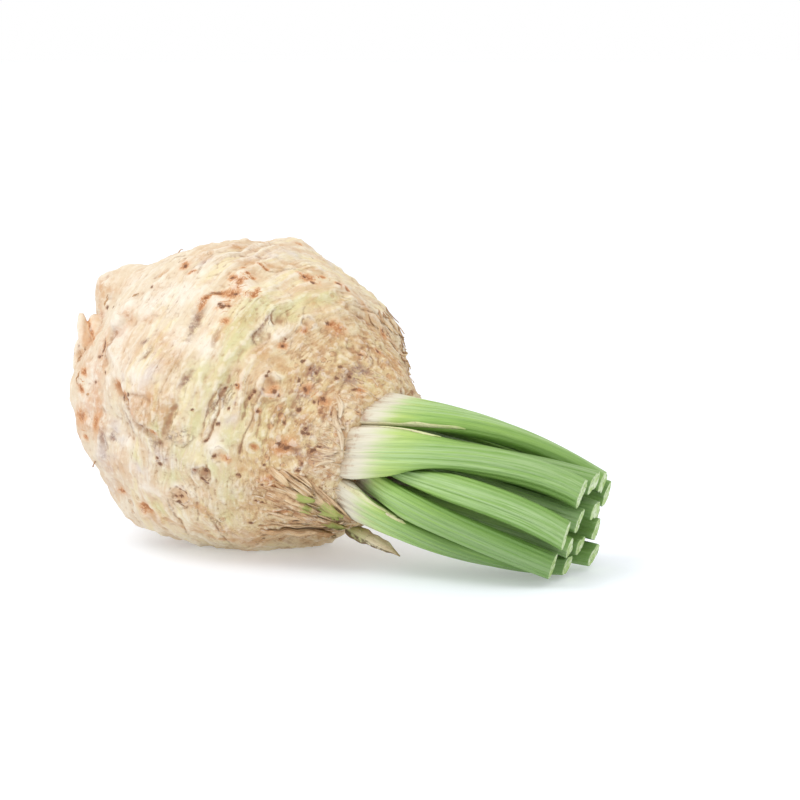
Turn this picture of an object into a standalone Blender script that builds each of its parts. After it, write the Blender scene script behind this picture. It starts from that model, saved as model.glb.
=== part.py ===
"""A celeriac as harvested: the knobbly root with the stubs of its side roots, the cut leaf stalks that
leave its crown in a bundle, and the torn bases of older leaves on its shoulder.

It lies on its side on a table at z = 0, in metres, with +Z up. The front view looks along +Y and a little
down. The origin is on the table, under the middle of the root.
"""

import collections
import math
import random

import bmesh
import bpy
from mathutils import Quaternion, Vector, noise

MM = 0.001
GAP = 0.4 * MM
SEED = 7
WELD = 0.001 * MM

# The front view, in which places on the root are given as right, up and towards the viewer, in mm.
VIEW_TILT = math.radians(9)
RIGHT = Vector((1, 0, 0))
UP = Vector((0, math.sin(VIEW_TILT), math.cos(VIEW_TILT)))
TOWARDS = Vector((0, -math.cos(VIEW_TILT), math.sin(VIEW_TILT)))

# The root is a globe about CENTRE. Its axis points at the crown: right, forward and a little down.
CENTRE = Vector((0, 0, 57.5)) * MM
AXIS_TURN = math.radians(-40)
AXIS_DIP = math.radians(13)
AXIS = Vector((math.cos(AXIS_TURN), math.sin(AXIS_TURN), 0)) * math.cos(AXIS_DIP)
AXIS.z = -math.sin(AXIS_DIP)

# Distance of the skin from the centre in mm, by the angle from the axis: crown, neck, belly, root end.
PROFILE = (
    (0, 69),
    (11, 71),
    (19, 75),
    (27, 69.5),
    (35, 64.5),
    (45, 61),
    (60, 59.5),
    (90, 59),
    (120, 60),
    (150, 58),
    (180, 54),
)

# Mounds (and hollows) of the skin: where, height in mm, spread in degrees.
MOUNDS = (
    ((-54, 43, 0), 9.4, 9.5),
    ((-42, 49, 0), 3.2, 6),
    ((-33, 50, -4), -2.0, 11),
    ((19, 57, -3), 3.2, 9),
    ((-16, 58, 2), -4.4, 12),
    ((2, 60, 0), -2.2, 8),
    ((-60, 4, 8), 5.6, 15),
    ((-56, -18, 12), 2.4, 12),
    ((-57, -27, 4), -2.0, 7),
    ((-42, -42, 4), 4.2, 18),
    ((-30, 6, 51), 3.2, 13),
    ((-30, -8, 50), 3.4, 8),
    ((-42, -14, 40), -3.2, 7),
    ((-45, -36, 18), -2.0, 6),
    ((37, 33, 33), 2.5, 14),
    ((53, 28, -6), 3.6, 15),
    ((63, 12, 0), 1.6, 9),
    ((18, -50, 26), -1.0, 12),
    ((8, 34, 46), 1.6, 9),
    ((-13, 22, 53), -1.4, 8),
    ((-4, -52, -14), 2.5, 20),
    ((30, -50, -4), 4.0, 16),
)

# Seeded mounds and scars on the far side: how many, their range of heights in mm and of spreads or
# radii in degrees, and the limits that keep them off the front, the crown and the resting spot.
HIDDEN_MOUNDS = 16
HIDDEN_MOUND_HEIGHTS = (-2, 4.5)
HIDDEN_MOUND_SPREADS = (8, 16)
HIDDEN_SCARS = 12
HIDDEN_SCAR_RADII = (2.6, 4.2)
MOST_TOWARDS_VIEW = 0.1
MOST_TOWARDS_CROWN = 0.6
LOWEST_HEIGHT = -0.75

# Uneven skin: how fine the noise is and its strength in mm.
SKIN_NOISE = ((3, 1.5, Vector((3, 1, 4))), (8, 0.8, Vector((0, 0, 0))))

# Round scars of side roots on the side seen from the front: where, radius in mm.
SCARS = (
    ((-21, -37, 41), 4.6),
    ((16, 26, 51), 3.2),
    ((40, 15, 42), 4.0),
    ((7, -18, 56), 2.2),
    ((-5, -22, 55), 3.4),
    ((-11, -29, 51), 3.6),
    ((13, 3, 58), 3.8),
    ((25, 24, 48), 2.8),
    ((-20, 49, 28), 2.8),
)
SCAR_RIM = 0.5
SCAR_RIM_SPREAD = 0.35
SCAR_PIT = 0.9
SCAR_PIT_SPREAD = 0.6
ROUND_RADIUS = 60

# Folds that run round the axis like rings: their spacing, height in mm and where they start, how far they
# wander (fineness and strength of the noise), and how large the patches are that have none.
FOLD_SPACING_DEG = 8.5
FOLD_HEIGHT = 0.9
FOLD_START_DEG = 30
FOLD_FADE_DEG = 15
FOLD_WANDER = ((2.2, 2.6), (6, 0.9))
FOLD_PATCHES = 1.8
FOLD_CONTRAST = 2.2
FOLD_PATCH_PLACE = Vector((5, 2, 8))

# Side roots left on the root's left limb: points right, up and towards in mm, and thickness in mm.
LIMB_ROOTS = (
    (((-54.5, -4, 15), (-57, 6, 13.5), (-58.3, 13, 12), (-59.9, 21, 11), (-61, 30.5, 10)), 4.8),
    (((-49, 4, 27), (-52.5, 11, 21), (-54, 18, 16), (-55.2, 25, 12), (-55.8, 30, 9)), 5.8),
    (((-56, 24, 5), (-61.5, 19.5, 5), (-63.2, 14.5, 5), (-62.8, 8.5, 6), (-59, 2, 8)), 3.2),
    (((-52, -2, 26), (-57, -7, 19), (-60, -11, 12), (-57.8, -16, 10), (-53.5, -20.8, 11)), 4.6),
    (((-42, 28, 36), (-47, 21.5, 31.5), (-49.5, 12, 30.5), (-51.5, 1, 29), (-51, -8, 28.5)), 4.6),
)
ROOT_TAPER = 0.25

# Trimmed side roots round the root end, which bend over along the skin: how many, the degrees from the
# axis, and their lengths, rises and thicknesses in mm.
END_ROOTS = 20
END_ROOT_SPREAD = (4, 52)
END_ROOT_LENGTHS = (10, 22)
END_ROOT_RISES = (3, 8)
END_ROOT_THICKNESSES = (3.4, 6)
END_ROOT_POINTS = 5
END_ROOT_ARCH = 0.6 * math.pi
END_ROOT_BEND = 1.4
ROOT_SUNK = 4
ROOT_LOWEST = 4
ROOT_MOST_TOWARDS_VIEW = -20

# Share of the globe's triangles that is kept, and how near the table in mm the skin is pressed flat.
DECIMATE_RATIO = 0.3
FLAT_HEIGHT = 0.5

# The bundle of leaf stalks runs from inside the crown to its cut end, here in mm.
BUNDLE_START = 62
BUNDLE_END = Vector((124, -57, 20)) * MM
BUNDLE_WAY = Vector((0.94, -0.16, -0.30)).normalized()
STALK_RINGS = 10
OUTER_POINTS = 11
INNER_POINTS = 9
STALK_GAP = 0.8
RIB_HEIGHT = 0.45
RIB_COUNT = 5
TABLE_GAP = 0.3

# A stalk's section: a rounded box with a channel on its inner face, as a share of its half size.
SECTION_POWER = 2.4
CHANNEL_DEPTH = 0.42
CHANNEL_SPREAD = 0.75

# A stalk is pressed against its neighbours: how softly it meets the flats, and how far a thick one may push
# a thin one, as a share of the distance between them.
PRESS_POWER = 9
MOST_PUSH = 0.25

# Each leaf stalk: its place at the crown, halfway and at the cut end, as (forward, up) from the bundle's
# middle in mm; which way its ribbed back faces at both ends, in degrees from forward; its width and depth
# in mm at both ends; and how far past the bundle's end it is cut.
HALFWAY = 0.45
Stalk = collections.namedtuple("Stalk", "base middle end faces base_size end_size longer")
STALKS = (
    Stalk((12, 17), (1, 21.5), (-13, 13.5), (58, 105), (20, 8), (12, 9.5), 3),
    Stalk((20.5, 0.4), (16.5, 12), (12.5, 12), (5, 35), (27, 8), (11.5, 9.5), -2.5),
    Stalk((0, -3), (20.5, 2), (21, -2.5), (0, 5), (3, 4), (11, 8.5), -3),
    Stalk((4.5, -5.5), (20.5, -10.5), (16, -15), (350, 325), (18, 7), (11, 8.5), -4),
    Stalk((18.5, -11), (12.5, -19.3), (7, -15), (338, 280), (17, 8), (11.5, 9), 1),
    Stalk((2, 9), (4, 12), (0, 14.5), (80, 75), (12, 7), (11.5, 9), 0.5),
    Stalk((0, 4), (8, 2), (7.5, 1.5), (20, 10), (8, 6), (10, 8), 0),
    Stalk((7, -12), (8, -8), (10, -8.5), (300, 320), (10, 7), (10, 8), 0),
    Stalk((-7, 3), (-5, 3), (-4, 4), (120, 90), (10, 7), (11, 8), 4),
    Stalk((-8, 18), (-14, 14), (-21, 8), (115, 150), (20, 8), (12, 9), 5),
    Stalk((-20, 5), (-21, 1), (-22, -3), (165, 180), (20, 8), (12, 9), 4),
    Stalk((-8, -6), (-12, -6), (-13, -5), (210, 200), (11, 7), (10, 8), 6),
    Stalk((3, -20), (0, -15), (-1, -9), (278, 265), (18, 7), (10, 8), 3),
    Stalk((-15, -14), (-13, -16), (-11, -13.5), (225, 235), (20, 8), (11, 9), 8),
)

# Torn bases of older leaves: where they start on the skin, where they end, how far the tip stands off it,
# their width and their thickness, in mm.
OLD_BASES = (
    ((15, -26.5, 54), (25.5, -33, 49), 2.0, 4.0, 2.2),
    ((11, -35.5, 50), (27, -38, 45), 3.5, 5.0, 3.0),
    ((27, -33.5, 47), (33, -40, 43), 2.0, 4.0, 2.2),
    ((21, -43, 45), (36, -44.5, 38), 2.0, 5.0, 2.4),
    ((9, -54, 34), (35, -49.5, 35), 3.0, 5.0, 2.6),
)
OLD_BASE_RINGS = 7
OLD_BASE_TAPER = 0.45
OLD_BASE_SUNK = 0.5
STRIP_POINTS = 10
STRIP_CURL = 0.18

# The withered leaf: its middle line as right, up and towards in mm, and its size.
WITHERED_LEAF = ((40, -49, 30), (44, -51, 34), (48, -53, 38), (52, -55, 41), (56, -57, 44), (59.5, -59, 46))
WITHERED_WIDTH = 5.5
WITHERED_THICKNESS = 1.6
WITHERED_TWIST = 50
WITHERED_ARC = (0.25, 0.93)


def seen_way(place):
    """Unit vector for a place given as right, up and towards the viewer."""
    return (RIGHT * place[0] + UP * place[1] + TOWARDS * place[2]).normalized()


def seen_point(place):
    return CENTRE + (RIGHT * place[0] + UP * place[1] + TOWARDS * place[2]) * MM


def blend(share):
    """Smooth step from 0 to 1."""
    share = min(max(share, 0), 1)
    return share * share * (3 - 2 * share)


def profile_at(polar):
    """Distance of the plain globe's skin in mm at an angle from the axis, on a smooth curve."""
    k = max(i for i in range(len(PROFILE) - 1) if PROFILE[i][0] <= polar)
    around = [PROFILE[min(max(i, 0), len(PROFILE) - 1)] for i in (k - 1, k, k + 1, k + 2)]
    (x0, y0), (x1, y1), (x2, y2), (x3, y3) = around
    span = x2 - x1
    t = (polar - x1) / span
    slope_in = (y2 - y0) / (x2 - x0) * span
    slope_out = (y3 - y1) / (x3 - x1) * span
    return (
        (2 * t**3 - 3 * t**2 + 1) * y1
        + (t**3 - 2 * t**2 + t) * slope_in
        + (3 * t**2 - 2 * t**3) * y2
        + (t**3 - t**2) * slope_out
    )


def hidden_ways(count, seed):
    """Seeded directions on the far side and the underside, away from the crown."""
    draw = random.Random(seed)
    found = []
    while len(found) < count:
        way = Vector([draw.gauss(0, 1) for _ in range(3)]).normalized()
        hidden = way.dot(TOWARDS) < MOST_TOWARDS_VIEW and way.dot(AXIS) < MOST_TOWARDS_CROWN
        if hidden and way.z > LOWEST_HEIGHT:
            found.append(way)
    return found


def mounds():
    """All mounds as (way, height, spread)."""
    draw = random.Random(SEED)
    found = [(seen_way(place), height, spread) for place, height, spread in MOUNDS]
    for way in hidden_ways(HIDDEN_MOUNDS, SEED + 1):
        height = draw.uniform(*HIDDEN_MOUND_HEIGHTS)
        found.append((way, height, draw.uniform(*HIDDEN_MOUND_SPREADS)))
    return found


def scars():
    """All scars as (way, radius in degrees)."""
    draw = random.Random(SEED)
    found = [(seen_way(place), math.degrees(radius / ROUND_RADIUS)) for place, radius in SCARS]
    for way in hidden_ways(HIDDEN_SCARS, SEED + 2):
        found.append((way, draw.uniform(*HIDDEN_SCAR_RADII)))
    return found


def fold_height(way, polar):
    """Ring folds, which wander and come and go."""
    wander = sum(strength * noise.noise(way * fine) for fine, strength in FOLD_WANDER)
    crest = (0.5 + 0.5 * math.cos(2 * math.pi * (polar / FOLD_SPACING_DEG) + 2 * wander)) ** 2
    here = blend(0.5 + FOLD_CONTRAST * noise.noise(way * FOLD_PATCHES + FOLD_PATCH_PLACE))
    return FOLD_HEIGHT * crest * here * blend((polar - FOLD_START_DEG) / FOLD_FADE_DEG)


def scar_height(apart, radius):
    """A raised rim round a shallow pit."""
    t = apart / radius
    rim = SCAR_RIM * math.exp(-(((t - 1) / SCAR_RIM_SPREAD) ** 2))
    return rim - SCAR_PIT * math.exp(-((t / SCAR_PIT_SPREAD) ** 2))


def skin_radius(way, all_mounds, all_scars):
    """Distance of the skin from the centre along a unit vector, in metres."""
    polar = math.degrees(way.angle(AXIS))
    reach = profile_at(polar) + fold_height(way, polar)
    for place, height, spread in all_mounds:
        apart = math.degrees(way.angle(place))
        reach += height * math.exp(-((apart / spread) ** 2))
    for place, radius in all_scars:
        apart = math.degrees(way.angle(place))
        if apart < 3 * radius:
            reach += scar_height(apart, radius)
    for fine, strength, place in SKIN_NOISE:
        reach += strength * noise.noise(way * fine + place)
    return reach * MM


def material(name, colour, roughness):
    made = bpy.data.materials.new(name)
    made.use_nodes = True
    shader = made.node_tree.nodes["Principled BSDF"]
    shader.inputs["Base Color"].default_value = (*colour, 1)
    shader.inputs["Roughness"].default_value = roughness
    shader.inputs["Metallic"].default_value = 0
    return made


def new_object(name, mesh, group, finish=None):
    made = bpy.data.objects.new(name, mesh)
    group.objects.link(made)
    if finish:
        mesh.materials.clear()
        mesh.materials.append(finish)
        mesh.shade_smooth()
    return made


def applied(thing):
    """Replaces an object's mesh with the mesh that its modifiers make, and removes them."""
    graph = bpy.context.evaluated_depsgraph_get()
    mesh = bpy.data.meshes.new_from_object(thing.evaluated_get(graph))
    thing.modifiers.clear()
    thing.data = mesh
    return thing


def tube(name, points, thickness, group):
    """A tapering tube through points, as a closed mesh."""
    line = bpy.data.curves.new(name, "CURVE")
    line.dimensions = "3D"
    line.bevel_depth = thickness / 2
    line.bevel_resolution = 1
    line.use_fill_caps = True
    spline = line.splines.new("POLY")
    spline.points.add(len(points) - 1)
    for k, (point, place) in enumerate(zip(points, spline.points)):
        place.co = (*point, 1)
        place.radius = 1 - ROOT_TAPER * (k / (len(points) - 1)) ** 2
    guide = new_object(name, line, group)
    graph = bpy.context.evaluated_depsgraph_get()
    mesh = bpy.data.meshes.new_from_object(guide.evaluated_get(graph))
    bpy.data.objects.remove(guide)
    shape = bmesh.new()
    shape.from_mesh(mesh)
    bmesh.ops.remove_doubles(shape, verts=shape.verts, dist=WELD)
    bmesh.ops.recalc_face_normals(shape, faces=shape.faces)
    shape.to_mesh(mesh)
    shape.free()
    return new_object(name, mesh, group)


def loft(name, rings, group, finish):
    """A closed solid through unlike rings of points, with a fan over each end."""
    shape = bmesh.new()
    rows = [[shape.verts.new(point) for point in ring] for ring in rings]
    count = len(rows[0])
    for row, following in zip(rows, rows[1:]):
        for k in range(count):
            shape.faces.new((row[k], row[(k + 1) % count], following[(k + 1) % count], following[k]))
    for row in (rows[0], rows[-1]):
        middle = shape.verts.new(sum((vert.co for vert in row), Vector()) / count)
        for k in range(count):
            shape.faces.new((row[k], row[(k + 1) % count], middle))
    bmesh.ops.recalc_face_normals(shape, faces=shape.faces)
    mesh = bpy.data.meshes.new(name)
    shape.to_mesh(mesh)
    shape.free()
    return new_object(name, mesh, group, finish)


def end_root_points(draw, all_mounds, all_scars):
    """Points of one trimmed side root near the root end."""
    side = Vector([draw.gauss(0, 1) for _ in range(3)])
    side = (side - AXIS * side.dot(AXIS)).normalized()
    off = math.radians(draw.uniform(*END_ROOT_SPREAD))
    way = (-AXIS * math.cos(off) + side * math.sin(off)).normalized()
    lean = Vector([draw.gauss(0, 1) for _ in range(3)])
    lean = (lean - way * lean.dot(way)).normalized()
    length = draw.uniform(*END_ROOT_LENGTHS)
    height = draw.uniform(*END_ROOT_RISES)
    foot = CENTRE + way * skin_radius(way, all_mounds, all_scars)
    points = []
    for k in range(END_ROOT_POINTS):
        t = k / (END_ROOT_POINTS - 1)
        rise = (height + ROOT_SUNK) * math.sin(END_ROOT_ARCH * t) - ROOT_SUNK
        points.append(foot + (way * rise + lean * (length * t**END_ROOT_BEND)) * MM)
    return points


def side_roots(group, all_mounds, all_scars):
    """The side roots of the limb and of the root end, as loose meshes in the group."""
    for k, (places, thickness) in enumerate(LIMB_ROOTS):
        tube(f"limb_root_{k}", [seen_point(place) for place in places], thickness * MM, group)
    draw = random.Random(SEED + 3)
    made = 0
    while made < END_ROOTS:
        points = end_root_points(draw, all_mounds, all_scars)
        clear = min(point.z for point in points) >= ROOT_LOWEST * MM
        if clear and (points[-1] - CENTRE).dot(TOWARDS) < ROOT_MOST_TOWARDS_VIEW * MM:
            tube(f"end_root_{made}", points, draw.uniform(*END_ROOT_THICKNESSES) * MM, group)
            made += 1


def bulb(group, finish):
    """The root with its folds, scars and side roots in one piece, flat where it rests."""
    all_mounds, all_scars = mounds(), scars()
    shape = bmesh.new()
    bmesh.ops.create_icosphere(shape, subdivisions=6, radius=1)
    for vert in shape.verts:
        way = vert.co.normalized()
        vert.co = CENTRE + way * skin_radius(way, all_mounds, all_scars)
        vert.co.z = max(vert.co.z, 0)
    mesh = bpy.data.meshes.new("bulb")
    shape.to_mesh(mesh)
    shape.free()
    made = new_object("bulb", mesh, group, finish)
    fewer = made.modifiers.new("fewer", "DECIMATE")
    fewer.ratio = DECIMATE_RATIO
    applied(made)
    for vert in made.data.vertices:
        if vert.co.z < FLAT_HEIGHT * MM:
            vert.co.z = 0
    roots = bpy.data.collections.new("side roots")
    bpy.context.scene.collection.children.link(roots)
    side_roots(roots, all_mounds, all_scars)
    join = made.modifiers.new("side roots", "BOOLEAN")
    join.operation = "UNION"
    join.operand_type = "COLLECTION"
    join.collection = roots
    applied(made)
    for root in list(roots.objects):
        bpy.data.objects.remove(root)
    bpy.data.collections.remove(roots)
    made.data.materials.clear()
    made.data.materials.append(finish)
    made.data.shade_smooth()
    return made


def grown_copy(thing, distance, group):
    """A cutter that stands off a mesh by the given distance."""
    mesh = thing.data.copy()
    normals = [vert.normal.copy() for vert in mesh.vertices]
    for vert, normal in zip(mesh.vertices, normals):
        vert.co += normal * distance
    made = new_object("bulb_cutter", mesh, group)
    made.hide_render = True
    made.display_type = "WIRE"
    return made


def cut_by(thing, cutter, solver="EXACT"):
    """Keeps a piece clear of the cutter."""
    cut = thing.modifiers.new("clear of the bulb", "BOOLEAN")
    cut.operation = "DIFFERENCE"
    cut.solver = solver
    cut.object = cutter


def bundle_frame(s):
    """Middle of the bundle at the share s of its length, with its forward, up and lengthwise directions."""
    start = CENTRE + AXIS * BUNDLE_START * MM
    length = (BUNDLE_END - start).length
    a, b = AXIS * length, BUNDLE_WAY * length
    middle = (
        (2 * s**3 - 3 * s**2 + 1) * start
        + (s**3 - 2 * s**2 + s) * a
        + (3 * s**2 - 2 * s**3) * BUNDLE_END
        + (s**3 - s**2) * b
    )
    along = (6 * s**2 - 6 * s) * (start - BUNDLE_END)
    along += (3 * s**2 - 4 * s + 1) * a + (3 * s**2 - 2 * s) * b
    along = along.normalized()
    up = Vector((0, 0, 1))
    up = (up - along * up.dot(along)).normalized()
    return middle, along.cross(up), up, along, length


def mixed(pair, share):
    return pair[0] + (pair[1] - pair[0]) * share


def stalk_place(stalk, s):
    """Where a stalk's middle is in the bundle at share s, as (forward, up) in mm, and its size there."""
    base, middle, end = (Vector(place) for place in (stalk.base, stalk.middle, stalk.end))
    place = (
        base * ((s - HALFWAY) * (s - 1) / HALFWAY)
        + middle * (s * (1 - s) / (HALFWAY * (1 - HALFWAY)))
        + end * (s * (s - HALFWAY) / (1 - HALFWAY))
    )
    width, depth = (mixed((stalk.base_size[k], stalk.end_size[k]), blend(2 * s)) for k in (0, 1))
    return place, width, depth


def section_radius(angle, width, depth):
    """Half size in mm of a stalk's crescent section at an angle from its ribbed back."""
    c, s = abs(math.sin(angle)) / (width / 2), abs(math.cos(angle)) / (depth / 2)
    radius = (c**SECTION_POWER + s**SECTION_POWER) ** (-1 / SECTION_POWER)
    turn = (angle + math.pi) % (2 * math.pi) - math.pi
    if abs(turn) < math.pi / 2:
        radius += RIB_HEIGHT * (math.cos(turn * 2 * (RIB_COUNT - 1)) - 1) / 2
    channel = math.exp(-(((math.pi - abs(turn)) / CHANNEL_SPREAD) ** 2))
    return radius * (1 - CHANNEL_DEPTH * channel)


def ring(stalk, s):
    """Points of a stalk's outline in the bundle's plane at share s, pressed flat against its neighbours."""
    middle, forward, up, _, _ = bundle_frame(s)
    place, width, depth = stalk_place(stalk, s)
    facing = math.radians(mixed(stalk.faces, blend(s)))
    others = [stalk_place(other, s) for other in STALKS if other is not stalk]
    half = math.pi / 2
    turns = [mixed((-half, half), k / (OUTER_POINTS - 1)) for k in range(OUTER_POINTS)]
    turns += [mixed((half, 3 * half), (k + 1) / (INNER_POINTS + 1)) for k in range(INNER_POINTS)]
    points = []
    for turn in turns:
        e = Vector((math.cos(facing + turn), math.sin(facing + turn)))
        limits = [section_radius(turn, width, depth)]
        for other, other_width, other_depth in others:
            apart = other - place
            push = (width * depth - other_width * other_depth) / 8 / apart.length
            most = MOST_PUSH * apart.length
            wall = apart.length / 2 + max(min(push, most), -most)
            towards = e.dot(apart.normalized())
            if towards > 0.01:
                limits.append((wall - STALK_GAP / 2) / towards)
        height = (middle.z / MM + up.z * place.y) - TABLE_GAP
        if e.y < -0.01:
            limits.append(height / (-up.z * e.y))
        radius = sum(limit**-PRESS_POWER for limit in limits) ** (-1 / PRESS_POWER)
        spot = place + e * radius
        points.append(middle + (forward * spot.x + up * spot.y) * MM)
    return points


def leaf_stalk(name, stalk, cutter, group, finish):
    """One leaf stalk, from the crown to its cut end."""
    _, _, _, _, length = bundle_frame(0)
    end = 1 + stalk.longer * MM / length
    rings = [ring(stalk, end * k / (STALK_RINGS - 1)) for k in range(STALK_RINGS)]
    made = loft(name, rings, group, finish)
    cut_by(made, cutter)
    return made


def strip_ring(middle, side, out, width, thickness):
    """Outline of a thin strip, curled a little round its length."""
    points = []
    for k in range(STRIP_POINTS):
        turn = 2 * math.pi * k / STRIP_POINTS
        across = math.cos(turn) * width / 2
        curl = -STRIP_CURL * width * math.cos(turn) ** 2
        points.append(middle + side * across + out * (math.sin(turn) * thickness / 2 + curl))
    return points


def old_leaf_base(name, row, cutter, group, finish):
    """A torn leaf base that lies along the shoulder and lifts off it towards its tip."""
    all_mounds, all_scars = mounds(), scars()
    start, end, lift, width, thickness = row
    first, last = seen_way(start), seen_way(end)
    rings = []
    for k in range(OLD_BASE_RINGS):
        t = k / (OLD_BASE_RINGS - 1)
        way = first.slerp(last, t)
        reach = skin_radius(way, all_mounds, all_scars) + (lift * t - OLD_BASE_SUNK) * MM
        side = (last - first).cross(way).normalized()
        taper = 1 - OLD_BASE_TAPER * t
        rings.append(strip_ring(CENTRE + way * reach, side, way, width * taper * MM, thickness * MM))
    made = loft(name, rings, group, finish)
    cut_by(made, cutter)
    return made


def withered_leaf(cutter, group, finish):
    """The dried leaf base that hangs from under the crown, a thin blade that narrows and turns over."""
    rings = []
    places = [seen_point(place) for place in WITHERED_LEAF]
    last = len(places) - 1
    for k, middle in enumerate(places):
        along = (places[min(k + 1, last)] - places[max(k - 1, 0)]).normalized()
        side = along.cross(TOWARDS).normalized()
        turn = Quaternion(along, math.radians(WITHERED_TWIST * k / last))
        side.rotate(turn)
        width = WITHERED_WIDTH * math.sin(math.pi * mixed(WITHERED_ARC, k / last))
        rings.append(strip_ring(middle, side, side.cross(along), width * MM, WITHERED_THICKNESS * MM))
    made = loft("withered_leaf", rings, group, finish)
    cut_by(made, cutter, "MANIFOLD")
    return made


def main():
    for old in list(bpy.data.objects):
        bpy.data.objects.remove(old)
    parts = bpy.data.collections.new("celeriac")
    cutters = bpy.data.collections.new("cutters")
    for group in (parts, cutters):
        bpy.context.scene.collection.children.link(group)
    made = bulb(parts, material("skin", (0.72, 0.55, 0.36), 0.6))
    cutter = grown_copy(made, GAP, cutters)
    for k, stalk in enumerate(STALKS, 1):
        green = material(f"green_stalk_{k:02}", (0.18, 0.42, 0.08), 0.4)
        leaf_stalk(f"leaf_stalk_{k:02}", stalk, cutter, parts, green)
    for k, row in enumerate(OLD_BASES, 1):
        papery = material(f"papery_base_{k}", (0.52, 0.44, 0.2), 0.7)
        old_leaf_base(f"old_leaf_base_{k}", row, cutter, parts, papery)
    withered_leaf(cutter, parts, material("withered_green", (0.36, 0.34, 0.14), 0.7))


main()
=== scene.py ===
"""The looks of the celeriac: its knobbly root, cut leaf stalks, torn leaf bases and rootlets.

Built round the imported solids, in metres, with +Z up. Places on the root are given as in a front view that
looks along +Y and a little down: right, up and towards the viewer, in mm from the root's centre.
"""

import collections
import math
import random

import bmesh
import bpy
import numpy as np
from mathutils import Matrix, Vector, noise
from mathutils.bvhtree import BVHTree


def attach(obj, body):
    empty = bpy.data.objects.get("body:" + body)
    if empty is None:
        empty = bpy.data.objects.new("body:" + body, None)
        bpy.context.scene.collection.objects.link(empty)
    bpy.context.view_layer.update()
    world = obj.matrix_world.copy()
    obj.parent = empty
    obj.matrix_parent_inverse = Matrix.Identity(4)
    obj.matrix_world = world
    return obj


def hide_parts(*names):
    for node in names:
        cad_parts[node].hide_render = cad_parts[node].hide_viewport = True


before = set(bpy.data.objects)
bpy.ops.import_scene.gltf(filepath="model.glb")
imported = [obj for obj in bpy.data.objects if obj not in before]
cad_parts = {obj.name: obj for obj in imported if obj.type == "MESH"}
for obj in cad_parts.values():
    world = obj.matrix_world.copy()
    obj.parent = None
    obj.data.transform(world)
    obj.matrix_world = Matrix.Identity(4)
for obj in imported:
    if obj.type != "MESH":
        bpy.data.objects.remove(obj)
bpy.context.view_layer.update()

MM = 0.001
SEED = 7
# Stands for places out of reach of every mark, line or wall, in their own sizes or in mm.
FAR = 9.0

# The front view, as unit vectors in rows: right, up and towards the viewer.
VIEW_TILT = math.radians(9)
SEEN = np.array(
    (
        (1, 0, 0),
        (0, math.sin(VIEW_TILT), math.cos(VIEW_TILT)),
        (0, -math.cos(VIEW_TILT), math.sin(VIEW_TILT)),
    )
)
TOWARDS = SEEN[2]

# The form of the root, as in the solids: its centre and axis, and its skin's distance from the centre.
CENTRE = np.array((0, 0, 57.5))
AXIS_TURN = math.radians(-40)
AXIS_DIP = math.radians(13)
AXIS = np.array(
    (math.cos(AXIS_TURN) * math.cos(AXIS_DIP), math.sin(AXIS_TURN) * math.cos(AXIS_DIP), -math.sin(AXIS_DIP))
)
# Distance in mm of the skin at angles from the axis.
PROFILE = (
    (0, 69), (11, 71), (19, 75), (27, 69.5), (35, 64.5), (45, 61),
    (60, 59.5), (90, 59), (120, 60), (150, 58), (180, 54),
)
# Mounds and hollows: place, height in mm and spread in degrees.
MOUNDS = (
    ((-54, 43, 0), 9.4, 9.5),
    ((-42, 49, 0), 3.2, 6),
    ((-33, 50, -4), -2.0, 11),
    ((19, 57, -3), 3.2, 9),
    ((-16, 58, 2), -4.4, 12),
    ((2, 60, 0), -2.2, 8),
    ((-60, 4, 8), 5.6, 15),
    ((-56, -18, 12), 2.4, 12),
    ((-57, -27, 4), -2.0, 7),
    ((-42, -42, 4), 4.2, 18),
    ((-30, 6, 51), 3.2, 13),
    ((-30, -8, 50), 3.4, 8),
    ((-42, -14, 40), -3.2, 7),
    ((-45, -36, 18), -2.0, 6),
    ((37, 33, 33), 2.5, 14),
    ((53, 28, -6), 3.6, 15),
    ((63, 12, 0), 1.6, 9),
    ((18, -50, 26), -1.0, 12),
    ((8, 34, 46), 1.6, 9),
    ((-13, 22, 53), -1.4, 8),
    ((-4, -52, -14), 2.5, 20),
    ((30, -50, -4), 4.0, 16),
)
HIDDEN_MOUNDS = 16
HIDDEN_MOUND_HEIGHTS = (-2, 4.5)
HIDDEN_MOUND_SPREADS = (8, 16)
# Round scars: place and radius in mm, and how brown each is.
SCARS = (
    ((-21, -37, 41), 4.6),
    ((16, 26, 51), 3.2),
    ((40, 15, 42), 4.0),
    ((7, -18, 56), 2.2),
    ((-5, -22, 55), 3.4),
    ((-11, -29, 51), 3.6),
    ((13, 3, 58), 3.8),
    ((25, 24, 48), 2.8),
    ((-20, 49, 28), 2.8),
)
SCAR_TONES = (0.9, 0.35, 0.3, 0.35, 0.7, 0.6, 0.6, 0.7, 0.8)
HIDDEN_SCARS = 12
HIDDEN_SCAR_RADII = (2.6, 4.2)
SCAR_RIM = 0.5
SCAR_PIT = 0.9
ROUND_RADIUS = 60
MM_PER_DEGREE = math.radians(ROUND_RADIUS)
# Noises of the form: fineness, height in mm and place in the noise.
SKIN_NOISE = ((3, 1.5, (3, 1, 4)), (8, 0.8, (0, 0, 0)))
# Ring folds round the axis: spacing and start in degrees, height in mm, and fineness and strength of the
# noises that make them wander.
FOLD_SPACING_DEG = 8.5
FOLD_START_DEG = 30
FOLD_HEIGHT = 0.9
FOLD_WANDER = ((2.2, 2.6), (6, 0.9))

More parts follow.
